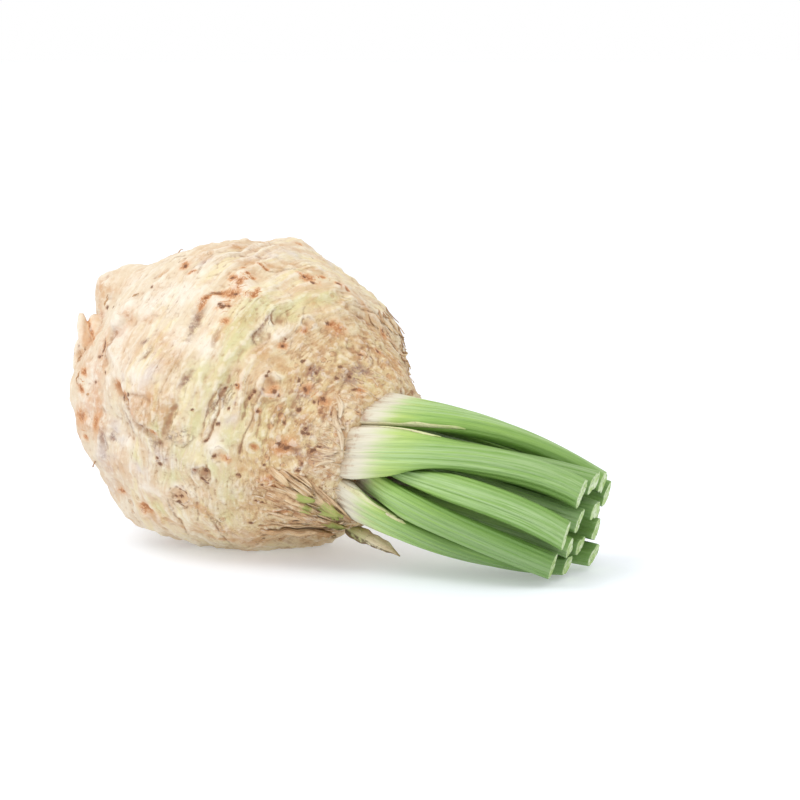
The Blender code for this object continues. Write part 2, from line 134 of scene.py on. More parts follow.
# Side roots that have grown together on the left limb: places along each, and its thickness in mm.
LIMB_ROOTS = (
    (((-54.5, -4, 15), (-57, 6, 13.5), (-58.3, 13, 12), (-59.9, 21, 11), (-61, 30.5, 10)), 4.8),
    (((-49, 4, 27), (-52.5, 11, 21), (-54, 18, 16), (-55.2, 25, 12), (-55.8, 30, 9)), 5.8),
    (((-56, 24, 5), (-61.5, 19.5, 5), (-63.2, 14.5, 5), (-62.8, 8.5, 6), (-59, 2, 8)), 3.2),
    (((-52, -2, 26), (-57, -7, 19), (-60, -11, 12), (-57.8, -16, 10), (-53.5, -20.8, 11)), 4.6),
    (((-42, 28, 36), (-47, 21.5, 31.5), (-49.5, 12, 30.5), (-51.5, 1, 29), (-51, -8, 28.5)), 4.6),
)
END_ROOTS = 20
ROOT_TAPER = 0.25

# The bundle of leaf stalks, as in the solids.
BUNDLE_START = 62
BUNDLE_END = np.array((124, -57, 20))
BUNDLE_WAY = np.array((0.94, -0.16, -0.30))
BUNDLE_WAY = BUNDLE_WAY / np.linalg.norm(BUNDLE_WAY)
BUNDLE_LENGTH = np.linalg.norm(BUNDLE_END - CENTRE - AXIS * BUNDLE_START)
STALK_GAP = 0.8
RIB_HEIGHT = 0.45
RIB_COUNT = 5
TABLE_GAP = 0.3
HALFWAY = 0.45
SECTION_POWER = 2.4
CHANNEL_DEPTH = 0.42
CHANNEL_WIDTH = 0.75
PRESS_POWER = 9.0
Stalk = collections.namedtuple("Stalk", "base middle end faces base_size end_size longer")
STALKS = (
    Stalk((12, 17), (1, 21.5), (-13, 13.5), (58, 105), (20, 8), (12, 9.5), 3),
    Stalk((20.5, 0.4), (16.5, 12), (12.5, 12), (5, 35), (27, 8), (11.5, 9.5), -2.5),
    Stalk((0, -3), (20.5, 2), (21, -2.5), (0, 5), (3, 4), (11, 8.5), -3),
    Stalk((4.5, -5.5), (20.5, -10.5), (16, -15), (350, 325), (18, 7), (11, 8.5), -4),
    Stalk((18.5, -11), (12.5, -19.3), (7, -15), (338, 280), (17, 8), (11.5, 9), 1),
    Stalk((2, 9), (4, 12), (0, 14.5), (80, 75), (12, 7), (11.5, 9), 0.5),
    Stalk((0, 4), (8, 2), (7.5, 1.5), (20, 10), (8, 6), (10, 8), 0),
    Stalk((7, -12), (8, -8), (10, -8.5), (300, 320), (10, 7), (10, 8), 0),
    Stalk((-7, 3), (-5, 3), (-4, 4), (120, 90), (10, 7), (11, 8), 4),
    Stalk((-8, 18), (-14, 14), (-21, 8), (115, 150), (20, 8), (12, 9), 5),
    Stalk((-20, 5), (-21, 1), (-22, -3), (165, 180), (20, 8), (12, 9), 4),
    Stalk((-8, -6), (-12, -6), (-13, -5), (210, 200), (11, 7), (10, 8), 6),
    Stalk((3, -20), (0, -15), (-1, -9), (278, 265), (18, 7), (10, 8), 3),
    Stalk((-15, -14), (-13, -16), (-11, -13.5), (225, 235), (20, 8), (11, 9), 8),
)

# How far the pale foot of a stalk reaches in mm, and how dark its green is, for those seen best.
STALK_LOOKS = {1: (7, 0.1), 2: (11, 0.3), 3: (6, 0.15), 4: (7, 0.8), 5: (9, 1.0)}
# Rings of a stalk's cut face: their size as a share of its rim, and how far they stand out, in mm.
CUT_FACE = ((0.97, 0.12), (0.92, 0.08), (0.8, -0.1), (0.6, -0.25), (0.4, -0.3), (0.2, -0.35))
# How far from its cut end a stalk follows the slant of the cut, in mm.
SLANT_REACH = 8

# Torn bases of older leaves: start, end, lift, width and thickness as in the solids, and from which to which
# share of its length each is green.
OLD_BASES = (
    ((15, -26.5, 54), (25.5, -33, 49), 2.0, 4.0, 2.2, 2, 2),
    ((11, -35.5, 50), (27, -38, 45), 3.5, 5.0, 3.0, 0.45, 1.0),
    ((27, -33.5, 47), (33, -40, 43), 2.0, 4.0, 2.2, 0.1, 1.2),
    ((21, -43, 45), (36, -44.5, 38), 2.0, 5.0, 2.4, 0.45, 1.2),
    ((9, -54, 34), (35, -49.5, 35), 3.0, 5.0, 2.6, 0.6, 0.95),
)
WITHERED_LEAF = ((40, -49, 30), (44, -51, 34), (48, -53, 38), (52, -55, 41), (56, -57, 44), (59.5, -59, 46))
WITHERED_WIDTH = 5.5
WITHERED_THICKNESS = 0.7
WITHERED_CURL = 0.38
WITHERED_TWIST = 50

# Fineness of the pieces.
VOXEL = 0.78
STALK_RINGS = 64
OUTER_POINTS = 64
INNER_POINTS = 34
BASE_ROWS = 34
BASE_COLUMNS = 25
MARGIN_ROWS = 40
MARGIN_COLUMNS = 5

# Marks of the skin by kind: right and up in mm, half their length and width in mm, and the turn of their
# length from the right in degrees.
MARKS = {
    "rust": (
        (-19.5, 47, 2, 1.5, 0), (-16.5, 44.5, 1.6, 1, 30), (-1, 36, 4, 2.2, -10), (-5, 36.5, 3.4, 1, 15),
        (-10, 35, 3.2, 0.9, 35), (-12, 31.5, 3, 0.9, 65), (-1, 42, 2.2, 1.4, -60), (7, 35.5, 2.4, 1, -20),
        (8, 37, 1.4, 0.8, 60), (-3.5, 31.5, 2.6, 1.2, 10), (2, 46, 1.2, 0.8, 50),
        (1.5, 40.5, 2.2, 1.4, 70), (-3.5, 26, 1.8, 1.5, 0), (25.5, 42.5, 3.4, 1.8, -35),
        (31, 43, 1.2, 1, -20), (37, 40.5, 1.6, 1.4, -30), (40, 38.5, 1.2, 1, -60), (21, 57, 1.4, 0.9, 20),
        (37, 23, 2.6, 1.8, 10), (35, 25, 2.4, 1.2, 30), (47.5, 26.5, 1.9, 1.1, -25),
        (-43, 2.5, 2.2, 1.6, -70), (-40.5, -1, 2.2, 1.2, -40), (-57, 24.5, 4.6, 0.8, -68),
        (-55, 19.5, 1.4, 0.7, -85), (-58, 8, 1.8, 1.5, -50), (-59.5, 2, 2.2, 1.1, -60),
        (-59.5, -8.5, 2.6, 2, -60), (-58, -16.5, 1.6, 0.8, -50), (-53, -11, 3.2, 1, 85),
        (-38, -7, 2.4, 1.5, -55), (-29.5, -14.5, 1.3, 0.9, -20), (-44.5, -36.5, 2.6, 1, 30),
        (-35, -42.5, 3.6, 2.8, 10), (18.5, -19, 3, 2, 20), (7.5, -19, 1.3, 1.2, 0), (9, -6.5, 1, 1, 0),
        (25.5, 22.5, 1.3, 1.2, 0), (17.5, 17, 1.5, 1.3, 0), (2, 2.5, 1.3, 1.2, 0),
        (14.5, 0.5, 2.2, 1.8, 20), (26.5, 1.5, 1.8, 1.5, 0), (32, -2.5, 1.6, 1.4, 0),
        (-2.5, -23.5, 1.6, 1.4, -40), (51.5, 15.5, 1.6, 1, 80), (45.5, 1, 1.4, 1.2, 0),
        (53.5, 22.5, 2, 1.6, -60), (14.5, -33.5, 3.4, 0.9, 5), (17, -43, 5, 0.9, 15),
        (23.5, -40, 3, 0.8, 25), (12.5, -30.5, 2.4, 1, 25), (4, 43.5, 1.2, 0.8, 20), (6, 42, 1, 0.7, -30),
        (3.5, 41.5, 0.9, 0.7, 0), (8, 47.5, 1.3, 0.6, -35), (10.5, 45.5, 1.3, 0.6, -35),
    ),
    "tan": (
        (-53, 40, 4.5, 5.5, 80), (-31.5, 27.5, 5, 1.6, 12), (-31, 26, 1.6, 1.6, 0),
        (-21, 12, 4.2, 3.2, 20), (-25.5, 19, 5, 3.5, 0), (-56, 29.5, 2.4, 1.8, 0), (-60, 31, 2, 1.4, 0),
        (-28.5, 44, 3, 1.6, 30), (-4, 21.5, 5, 1.5, 65), (4, 26, 5, 4, 0), (10.5, 14.5, 6, 4, 40),
        (-22.5, -7, 9, 1.6, 68), (-31.5, -0.5, 8, 1.5, -28), (-33.5, -4, 9, 7, 0), (-29, -47.5, 4, 3, 0),
        (-47.5, -27.5, 5, 4, 40), (-9.5, -14, 4, 2.4, 60), (-9, -45.5, 4, 2.4, -30),
        (7.5, -38, 4.5, 3.2, 10), (5, -47, 3.2, 2.4, -30), (3.5, -27.5, 4, 4, 0), (10, -28, 5, 6, 80),
        (12.5, -9.5, 3, 7, 10), (17, -12.5, 5, 6, 70), (24, -9.5, 6, 7, 70), (32, -13, 5, 8, 20),
        (22.5, -21, 8, 6, 30), (15.5, -22, 6, 6, 30), (34.5, -0.5, 8, 6, 60), (25.5, 3, 7, 5, 60),
        (41.5, 4.5, 7, 6, 60), (48, -0.5, 7, 4, -30), (49.5, 12, 7, 6, -60), (54, 18, 7, 4, -60),
        (57, 9, 6, 4, -60), (39.5, 25, 4.5, 4, 0), (45.5, 19.5, 6, 3, 20), (28, 8, 6, 5, 60),
        (16.5, 10, 3, 3, 0), (28, 33, 3.2, 2, 30), (37.5, 34, 7, 3, -30), (46.5, 32.5, 6, 3, -40),
        (0, 54, 9, 2.4, 5), (12.5, 56, 9, 2.4, 0), (9, 48, 10, 2, -10), (22.5, 47, 8, 1.6, -12),
        (30, 51, 3, 1.6, 20), (18.5, -50.5, 12, 5, 10), (8, -54.5, 8, 3, 10), (3, -40.5, 5, 8, 80),
        (13.5, -38.5, 6, 7, 80), (21.5, -46, 8, 4, 20), (24, -27.5, 5, 4, 0), (-16, -51.5, 8, 2.4, -20),
        (-5.5, -54.5, 9, 2.4, -8), (-55, -12, 4, 6, 85), (-48.5, 18, 6, 2.6, 70), (-60, 18.5, 6, 2.4, 80),
        (24, -27.5, 7, 6, 20), (39.5, 15.5, 5, 9, 20), (56.5, 15, 3, 9, 20), (-30, -5.5, 6, 4, 20),
        (-15, -41.5, 7, 3.5, -20), (-5, -51, 10, 3.5, 10), (12.5, -26.5, 5, 7, 60), (24, -16.5, 5, 7, 70),
        (52, 21.5, 4, 8, 60), (56.5, 12, 3, 7, 60), (9, -38.5, 6, 5, 20),
    ),
    "dark": (
        (0.5, 36, 1.4, 0.8, -10), (-5.5, 32, 0.9, 0.7, 0), (-4, 31, 1.4, 0.8, 20), (-2, 31.5, 0.8, 0.7, 0),
        (-1.5, 42, 0.8, 0.6, 0), (-19.5, 47, 0.9, 0.7, 0), (27.5, 40.5, 1.2, 0.8, -35),
        (24.5, 43, 0.9, 0.6, -35), (40, 38, 0.7, 0.6, 0), (37, 40.5, 0.9, 0.7, 0), (28, 50, 1.8, 0.6, 25),
        (21, 57, 0.7, 0.4, 20), (45, 28, 2.4, 0.9, -28), (47.5, 26.5, 1.6, 0.8, -25),
        (33.5, 25.5, 1, 0.9, 0), (45, 14, 1, 0.8, 0), (51.5, 15.5, 0.8, 1.2, 0), (17.5, 17, 0.7, 0.7, 0),
        (18.5, 19.5, 0.7, 0.5, 0), (-5.5, -11, 1.1, 0.8, 30), (9, -6.5, 1.2, 0.7, 20),
        (1.5, -29.5, 1, 0.9, 0), (5, -47.5, 1.3, 0.9, -30), (7.5, -39, 0.8, 0.6, 0),
        (-7, -22.5, 1.4, 0.9, 60), (-27.5, -25.5, 1, 1, 40), (-28.5, -23.5, 0.8, 0.7, 0),
        (-33.5, -12, 1.2, 0.8, 50), (-41.5, -1.5, 1.6, 0.9, -50), (-39, -0.5, 0.8, 0.8, 0),
        (-39.5, -2.5, 1, 0.8, 0), (-51, 32.5, 0.9, 0.6, 60), (-48, 32.5, 0.8, 0.5, 0),
        (-32, 39.5, 0.8, 0.6, 50), (-48, 20.5, 1.6, 0.6, 60), (-49, 18, 1.2, 0.6, 60),
        (-49.5, 16, 1.4, 0.7, 60), (-51.5, 13.5, 0.9, 0.7, 0), (-49, 22.5, 0.7, 0.5, 0),
        (-52.5, 4, 0.8, 0.6, 60), (-48.5, 7.5, 0.5, 1.2, 0), (-62, 18, 0.6, 0.5, 0),
        (-66, 4, 0.7, 0.9, 20), (-65, 15, 0.8, 0.6, 0), (-14.5, -6, 0.8, 0.6, 0),
        (-10.5, -28, 1.6, 0.7, 85), (-11.5, -31, 1.6, 0.5, -30), (-10, -32.5, 1.2, 0.5, -20),
        (-14.5, -28, 0.8, 1, 60), (-20.5, -35, 0.9, 0.6, 40), (-22, -37.5, 1.2, 0.6, -40),
        (-20, -37.5, 0.9, 0.7, 0), (-21.5, -39.5, 1, 0.6, 30), (-18.5, -36, 0.9, 0.5, -40),
        (-20, -41, 1.2, 0.5, -30), (-10, -17, 1.6, 0.7, 30), (-3, 1.5, 1.4, 0.6, 40), (1, 3, 0.7, 0.5, 0),
        (12, 6, 0.9, 0.8, 0), (13, 7.5, 0.5, 0.5, 0), (15, 0.5, 1, 1.2, 0), (16.5, -1, 0.7, 0.6, 0),
        (7.5, 0.5, 1.1, 0.8, 60), (6, -1.5, 1.3, 0.6, 50), (26, 1.5, 1.3, 1, 70),
        (23.5, 4.5, 1.1, 0.6, 70), (25, 11.5, 1.1, 0.7, 10), (27.5, 8.5, 1.1, 0.9, 60),
        (29.5, 7.5, 0.6, 0.9, 0), (32, -2, 1.5, 1, 60), (38.5, 9.5, 1.2, 1, 0), (37, 5.5, 0.9, 0.8, 0),
        (41.5, 6.5, 0.9, 0.9, 0), (43.5, 1.5, 1.2, 0.7, 0), (49, 13, 0.9, 0.6, 0), (31.5, -6.5, 1, 0.8, 0),
        (29, -3, 0.8, 0.7, 0), (25, -14, 0.7, 0.9, 0), (27, -14.5, 0.6, 0.6, 0), (26, -12.5, 0.5, 0.5, 0),
        (23.5, -6, 1.2, 0.8, 40), (18.5, -10.5, 0.8, 1.2, 0), (19.5, -19.5, 1.6, 0.9, 20),
        (16.5, -18, 1, 0.8, 40), (24.5, -25, 0.7, 1.2, 10), (23, -27.5, 0.8, 0.6, 0),
        (11, -25.5, 0.7, 0.6, 0), (17, -31.5, 2, 0.8, -20), (9.5, -39.5, 1.1, 0.8, 0),
        (18, -39.5, 1.4, 0.7, 30), (10, -33, 0.9, 0.6, 60), (31, -19, 1.2, 0.6, 70),
        (28.5, -20.5, 1.2, 0.6, 40), (37, -11, 1.2, 0.5, 80), (35, -7.5, 1, 0.5, 70),
        (51.5, 36.5, 0.9, 0.7, 0), (56, 30.5, 1.6, 0.7, -60), (53, 27, 2, 0.8, -60),
        (55.5, 22, 2.4, 0.9, -60), (57.5, 17.5, 2.6, 1, -60), (60.5, 15, 2.4, 1.2, -60),
        (62, 8, 2.4, 1.2, -60), (64.5, 4, 2.4, 1.2, -60), (67, 1, 1.6, 1, -50), (53.5, 23.5, 1, 0.8, 0),
        (-1.5, -5.5, 0.6, 1, 0), (23.5, -35.5, 1, 0.6, 0), (22, -47, 2.2, 1.6, 20),
        (19, -49.5, 1.4, 0.7, 30), (13.5, -51.5, 3, 0.6, 22), (29.5, -49.5, 3, 0.9, 8),
        (32, -51, 2.4, 0.9, 0), (24.5, -51, 2.4, 0.7, 8),
    ),
    "lilac": (
        (-13.5, 27, 5, 1.8, 68), (-15, 22.5, 3, 1.4, 68), (9.5, 23.5, 4.2, 1.1, 50),
        (7.5, 19.5, 2.2, 1.4, 60), (12, 27, 1.8, 0.8, 60), (-32, 14.5, 2.6, 1, 42),
        (-33, 18.5, 2.4, 1.2, 20), (-38.5, -10.5, 4, 1.8, -50), (-32, -13.5, 3.6, 1.4, -25),
        (-27.5, -18.5, 2.6, 1.2, -20), (-23, -15.5, 2.4, 1, 50), (-38.5, -5.5, 3, 2, -70),
        (-14.5, -28, 2.2, 2, 60), (-10.5, -29.5, 3, 1.2, 80), (-18.5, -15.5, 3.2, 3, 0),
        (-47, 18, 4.6, 1.2, 66), (-4, -0.5, 4.5, 1.4, 62), (-7.5, -6, 3.5, 1.2, 65),
        (-17, 4.5, 3, 1.4, 50), (29, 6.5, 4, 3, 60), (41.5, 5.5, 4, 2.4, 20), (26.5, 0.5, 2.6, 2.2, 0),
        (26, -13, 2.6, 2.2, 40), (32, -21, 5, 2.4, 60), (-46, -16, 2.4, 1.4, 70), (-50, -17, 5, 2, 70),
        (26, -20, 3, 2, 40), (46, 8.5, 3.4, 2, -30), (23.5, -4, 4, 1.4, 60), (10.5, 0, 3.6, 1.6, 60),
    ),
    "grey": (
        (-27, -23.5, 4.4, 3.2, -30), (-30, 7.5, 5, 3, 60), (-50, -23, 4.4, 7, 0), (-45, -13.5, 3, 6, 20),
        (-49, -35.5, 3, 4, 0), (-35.5, -28, 4, 3, 0), (9.5, 51, 6, 3, 0), (19.5, 52, 5, 3, -20),
        (33, 49.5, 5, 2.4, -20), (-12, 48.5, 5, 2, 60), (0, -9, 3.6, 1.4, 40), (1, -4, 3, 1.6, 60),
        (35.5, -24.5, 4, 3.4, 10), (33, -27.5, 4, 3, 0), (49, 13.5, 3, 2.4, 0), (41.5, -2.5, 4, 4, 60),
        (34.5, -8, 3, 3.6, 60), (40, 15, 2.6, 1.6, 0), (24, -0.5, 3, 2, 0), (3, -35, 4, 5, 80),
        (34.5, -17.5, 2, 3.6, 0), (40, -12, 1.6, 6, 0), (17.5, -1.5, 2, 3, 0), (-40.5, 7.5, 2, 3.4, 0),
        (33, -24.5, 4.2, 3.2, 70),
    ),
    "cream": (
        (-42.5, 22.5, 2.6, 6, 5), (-44.5, 13, 2.2, 8, 8), (-43.5, 17.5, 2.2, 6, 8), (-41.5, 26, 3, 4, 20),
        (-28, 34, 8, 6, 20), (-18.5, 37, 7, 5, 20), (-41, 33, 5, 4, 0), (-40, 41.5, 5, 4, 0),
        (-7, 33.5, 3.4, 2.4, 0), (3.5, 38.5, 4, 4, 0), (-10, 17, 4, 6, 10), (-19.5, 19, 4, 5, 20),
        (-35.5, 4.5, 4, 6, 0), (-55.5, -0.5, 3.4, 6, 0), (-53.5, 7, 2, 6, 0), (-62, 25, 1.6, 5, 10),
        (-53, 29.5, 2, 1.6, 0), (-56, -8, 1.4, 5, 5), (41.5, 23, 4, 2, -20), (30, 46.5, 4, 1.4, -20),
        (-7, -18, 3, 4, 20), (-21, -34, 4, 2, 10), (31, 13.5, 3, 2, 20), (16, 20.5, 3, 2.4, 40),
        (-40, -18, 4, 2.4, -30), (-44.5, 15, 7, 1.5, 79), (-46.5, 7, 4, 1.4, 80), (38, -10, 8.5, 0.9, -80),
        (37, -2, 3, 1.2, -70), (-31.5, -35.5, 6, 3, -20), (32, -13, 4.5, 2.6, 80),
        (34.5, -30.5, 3, 2.2, 60),
    ),
    "green": (
        (-10, 8, 4.4, 6, 70), (-3, 12, 2.4, 7, -20), (-0.5, 19.5, 2.6, 6, -10), (1.5, 14.5, 3, 5, 0),
        (0, 15.5, 1.6, 7, -25), (6.5, 31.5, 4, 5, 0), (11, 32.5, 3.6, 3, 20), (2, 24.5, 3, 7, -20),
        (20, 28, 3.4, 4, -30), (23.5, 31.5, 3, 4, -30), (29, 34, 6, 3, 10), (32, 36, 6, 2.4, 20),
        (15.5, 30, 4, 4, 0), (4, 19, 4, 6, -30), (-2.5, 4.5, 3, 4, 0), (-12, -8, 2.4, 9, -15),
        (-14.5, -11.5, 2.4, 7, -15), (-1.5, -15.5, 3.4, 6, -25), (4.5, -6.5, 2.4, 6, -25),
        (1, -13, 2.4, 6, -25), (-2.5, -29, 4, 4, 0), (-19.5, -22, 3, 4, 20), (-23, -30.5, 5, 3, 20),
        (-37, -23, 4, 2.4, -30), (-1, -37, 4.4, 6, -5), (-3, -44.5, 4, 4, 0), (-29, -42.5, 3.4, 3, -40),
        (9.5, -16, 2.6, 7, -20), (18.5, -6, 3, 5, -20), (-27, -12.5, 3, 3, 0), (-8, -27.5, 3, 4, 0),
        (13.5, -2.5, 3, 5, -20), (50.5, 5.5, 4, 2.4, -20), (48, 3.5, 3, 1.6, -20),
        (40.5, 17.5, 2.4, 0.8, 10), (38, 13.5, 2, 3, 0), (46, 4.5, 3, 2, 0),
    ),
}
# Cracks and lines of the skin: places along each as right and up, its depth and width in mm, its darkness.
LINES = (
    (((12.5, 27.5), (10, 23.5), (7.5, 20), (8.5, 17)), 0.5, 0.9, 1),
    (((11.5, 25.5), (8.5, 21.5), (7, 18.5)), 0.4, 0.7, 0.8),
    (((13.5, 22.5), (11.5, 18), (8, 14.5)), 0.2, 0.7, 0.5),
    (((27.5, 33.5), (25, 31), (24.5, 26.5), (22.5, 22.5), (18.5, 19), (17.5, 16.5)), 0.25, 0.6, 0.5),
    (((21, 19), (19.5, 14.5), (16.5, 13.5)), 0.2, 0.6, 0.5),
    (((-3, 25.5), (-5.5, 22), (-7, 18.5), (-7.5, 15.5)), 0.7, 1.6, 0.35),
    (((-12.5, 32), (-13, 27), (-15, 21)), 0.4, 1.6, 0.4),
    (((-3.5, 36.5), (-6.5, 36.5), (-10, 35.5), (-12, 32)), 0.35, 0.8, 0.9),
    (((-1.5, 3), (-4.5, -2), (-5, -6), (-7, -11), (-8, -14), (-11, -18.5)), 0.8, 0.8, 1),
    (((-2.5, 2), (-5.5, -3), (-7.5, -6.5)), 0.3, 0.6, 0.8),
    (((-4, 2.5), (-7, -1), (-8.5, -4.5), (-10.5, -11.5), (-11.5, -16)), 0.4, 0.6, 0.8),
    (((0, 3), (-2.5, -1), (-3.5, -5)), 0.3, 0.6, 0.8),
    (((1.5, 2), (-1, -2), (-2.5, -5.5)), 0.3, 0.6, 0.6),
    (((6.5, -2.5), (7, -9), (3.5, -16.5), (2, -22), (2.5, -24.5)), 0.5, 0.6, 0.8),
    (((8, 2), (5, -2.5), (4.5, -6.5), (2.5, -11.5)), 0.4, 0.6, 0.5),
    (((10.5, 1), (7.5, -4), (7, -7.5)), 0.3, 0.5, 0.6),
    (((13.5, -2), (10.5, -6.5), (9.5, -11), (7, -16.5)), 0.3, 0.5, 0.4),
    (((16, -4), (13.5, -9.5), (12, -15.5), (9, -21)), 0.3, 0.6, 0.4),
    (((19.5, -4), (16.5, -9), (15, -14)), 0.3, 0.6, 0.6),
    (((-20, -4), (-22.5, -8), (-24, -12), (-26, -17)), 0.9, 1.4, 0.45),
    (((-19.5, -5.5), (-21.5, -9.5), (-23.5, -13.5)), 0.3, 0.6, 0.6),
    (
        (
            (-44.5, 3.5), (-42.5, 0), (-39.5, -3.5), (-38.5, -7.5), (-37, -11), (-33.5, -13.5), (-29.5, -16),
            (-25.5, -18),
        ),
        1.4, 1.8, 0.2,
    ),
    (((-40.5, -0.5), (-36.5, -0.5), (-32.5, -1.5), (-29, -4)), 0.7, 1.1, 0.3),
    (((-33.5, -13.5), (-30.5, -16.5), (-27.5, -18.5), (-24.5, -16), (-23, -13)), 0.3, 0.7, 0.7),
    (((-30.5, -19), (-27, -21), (-23, -19.5), (-22, -15.5)), 0.2, 0.6, 0.4),
    (((-22, -15.5), (-21, -18.5), (-18.5, -19.5), (-15, -17), (-14.5, -14)), 0.25, 0.7, 0.6),
    (((-25.5, -38), (-25.5, -41.5), (-23.5, -45), (-21, -49.5), (-20, -54)), 0.5, 0.8, 0.7),
    (((-24.5, -41.5), (-22.5, -45.5), (-20, -51)), 0.2, 0.5, 0.4),
    (((-16, -31), (-14.5, -36), (-14.5, -40), (-14.5, -45.5), (-15.5, -48.5)), 0.4, 0.7, 0.6),
    (((-11, -43.5), (-9.5, -46.5), (-8, -49.5), (-5, -55), (-3.5, -57.5)), 0.5, 0.8, 0.7),
    (((-9, -45), (-6.5, -48.5), (-4, -53)), 0.3, 0.5, 0.6),
    (((-3.5, -57.5), (1.5, -58), (6.5, -56), (11.5, -53)), 0.4, 0.7, 0.5),
    (((-9.5, -24.5), (-10, -27), (-9, -30.5), (-9.5, -32.5)), 0.6, 0.7, 0.9),
    (((-10, -24.5), (-11.5, -28.5), (-12, -31.5), (-10, -33)), 0.4, 0.6, 0.8),
    (((41.5, 32.5), (47, 31), (52, 30), (54, 26.5)), 0.5, 0.7, 0.8),
    (((38.5, 35.5), (43.5, 34), (48.5, 32.5), (53, 28.5)), 0.3, 0.6, 0.5),
    (((43.5, 28.5), (46, 28), (49, 25.5)), 0.9, 1, 1),
    (((36.5, 10), (36.5, 14), (38.5, 16.5), (42, 16), (43.5, 12.5)), 0.4, 0.7, 0.6),
    (((45, 10), (44.5, 14), (45.5, 16.5), (49.5, 18), (52, 16)), 0.3, 0.6, 0.5),
    (((49, 14.5), (50, 11.5), (48.5, 9)), 0.4, 0.7, 0.6),
    (((-5.5, 52.5), (0, 53), (6.5, 53)), 0.25, 0.6, 0.5),
    (((-4.5, 50), (1.5, 51), (8.5, 50), (17, 49.5)), 0.25, 0.6, 0.4),
    (((2.5, 56), (8, 55), (14, 57)), 0.25, 0.6, 0.4),
    (((-2.5, 55), (3.5, 54.5), (10.5, 53.5)), 0.2, 0.5, 0.4),
    (((7.5, 48), (9.5, 46.5), (12, 44.5), (17.5, 45.5), (22.5, 45.5), (28, 43)), 0.3, 0.7, 0.5),
    (((13.5, 46.5), (20, 46), (26.5, 46)), 0.25, 0.5, 0.4),
    (((-31.5, 29), (-28, 28), (-23.5, 29)), 0.2, 0.7, 0.2),
    (((-33.5, 12.5), (-30.5, 15.5)), 0.5, 0.9, 0.5),
    (((-12, 47.5), (-14.5, 44.5), (-12, 48.5), (-9.5, 51.5)), 0.4, 0.7, 0.4),
    (((-27, 49), (-24.5, 50.5), (-18.5, 51.5)), 0.4, 0.6, 0.4),
    (((-15, 41.5), (-10.5, 42.5), (-5.5, 44.5)), 0.3, 0.7, 0.3),
    (((-17, 6), (-17.5, 1)), 0.3, 0.7, 0.5),
    (((-15.5, 5.5), (-17, 0.5), (-17.5, -2.5)), 0.25, 0.5, 0.4),
    (((38.5, 9.5), (37, 6.5), (34, 2.5), (33, -0.5)), 0.3, 0.6, 0.6),
    (((42, 7), (39, 2.5), (37, -2)), 0.3, 0.6, 0.6),
    (((31, 8), (30.5, 4.5), (27, 0.5)), 0.3, 0.7, 0.6),
    (((30.5, -8), (27.5, -11.5), (25.5, -16.5)), 0.3, 0.6, 0.5),
    (((33.5, -5.5), (32, -10.5), (31, -16.5), (29, -21)), 0.3, 0.6, 0.5),
    (((35.5, -4), (35.5, -9.5), (34.5, -15)), 0.3, 0.5, 0.5),
    (((22, -2.5), (21, -7), (18.5, -11), (17, -15.5)), 0.3, 0.6, 0.5),
    (((17.5, -4), (16, -9), (13.5, -13)), 0.3, 0.6, 0.5),
    (((10.5, -20.5), (13, -24.5), (12.5, -29)), 0.3, 0.6, 0.5),
    (((14.5, -16.5), (18, -19), (22, -20), (25, -19)), 0.6, 0.9, 0.6),
    (((16.5, -27.5), (21.5, -32), (26, -33.5)), 0.5, 0.8, 0.7),
    (((11, -35.5), (15.5, -36), (20, -35.5)), 0.6, 0.9, 0.6),
    (((9.5, -40.5), (14.5, -41.5), (20, -39.5), (24.5, -38.5)), 0.5, 0.8, 0.6),
    (((11.5, -44.5), (17, -43), (22.5, -40.5)), 0.5, 0.9, 0.6),
    (((15, -52.5), (20, -49), (26, -46.5), (32, -45.5)), 0.5, 0.9, 0.6),
    (((9.5, -54.5), (14.5, -51.5), (19, -49.5)), 0.5, 0.7, 0.6),
    (((15, 30.5), (13.5, 28), (14, 25.5), (15, 23.5)), 0.7, 0.9, 1),
    (((-23.5, -35.5), (-22, -34.5), (-20, -34)), 0.3, 0.7, 0.8),
    (((-24.5, -37.5), (-24, -39), (-23, -41), (-21, -43)), 0.2, 0.5, 0.5),
    (((-17, -40), (-18.5, -42), (-20.5, -42.5)), 0.4, 0.7, 0.9),
    (((38, -2.5), (38.5, -8), (39.5, -13), (40, -19)), 0.4, 0.6, 0.5),
)

# Marks left of this, in mm, lie on the limb.
LIMB_LEFT_OF = -50
SMALL_SCARS = 120
# Dry fibres round the crown, and the distance from its middle at which their width is right, in mm.
CROWN_FIBRES = 110
FIBRE_RADIUS = 30
# Strips on the shoulder: where they start, as spans of right and up, and the place that all run towards.
SHOULDER_SHREDS = 46
SHRED_STARTS = ((4, 28), (-56, -26))
SHRED_TARGET = (42, -44, 34)
# The fringe on the root's right edge: right and up in mm, how many strips, and how brown they are.
SHOULDER_EDGE = ((53.5, 34.5), (60.5, 18), (62.5, 13.5), (67, 1))
EDGE_SHREDS = 70
EDGE_TONES = (0.2, 1.7)
# Torn pieces of old leaf bases on the shoulder: start and end as right and up, width and lift in mm, and how
# brown and how green they are.
SHOULDER_FLAPS = (
    ((17, -34.5), (27.5, -36.5), 4.4, 4.5, 0, 1),
    ((26, -33.5), (37, -42.5), 3.2, 3.6, 0, 0.9),
    ((23, -40), (36, -42), 4.2, 3.4, 0, 1),
    ((13, -27), (19, -32), 3.0, 3.0, 0, 0),
    ((24, -50), (38, -45), 1.6, 2.4, 0.6, 0),
    ((20, -47.5), (33, -45.5), 1.8, 1.6, 0.9, 0),
)
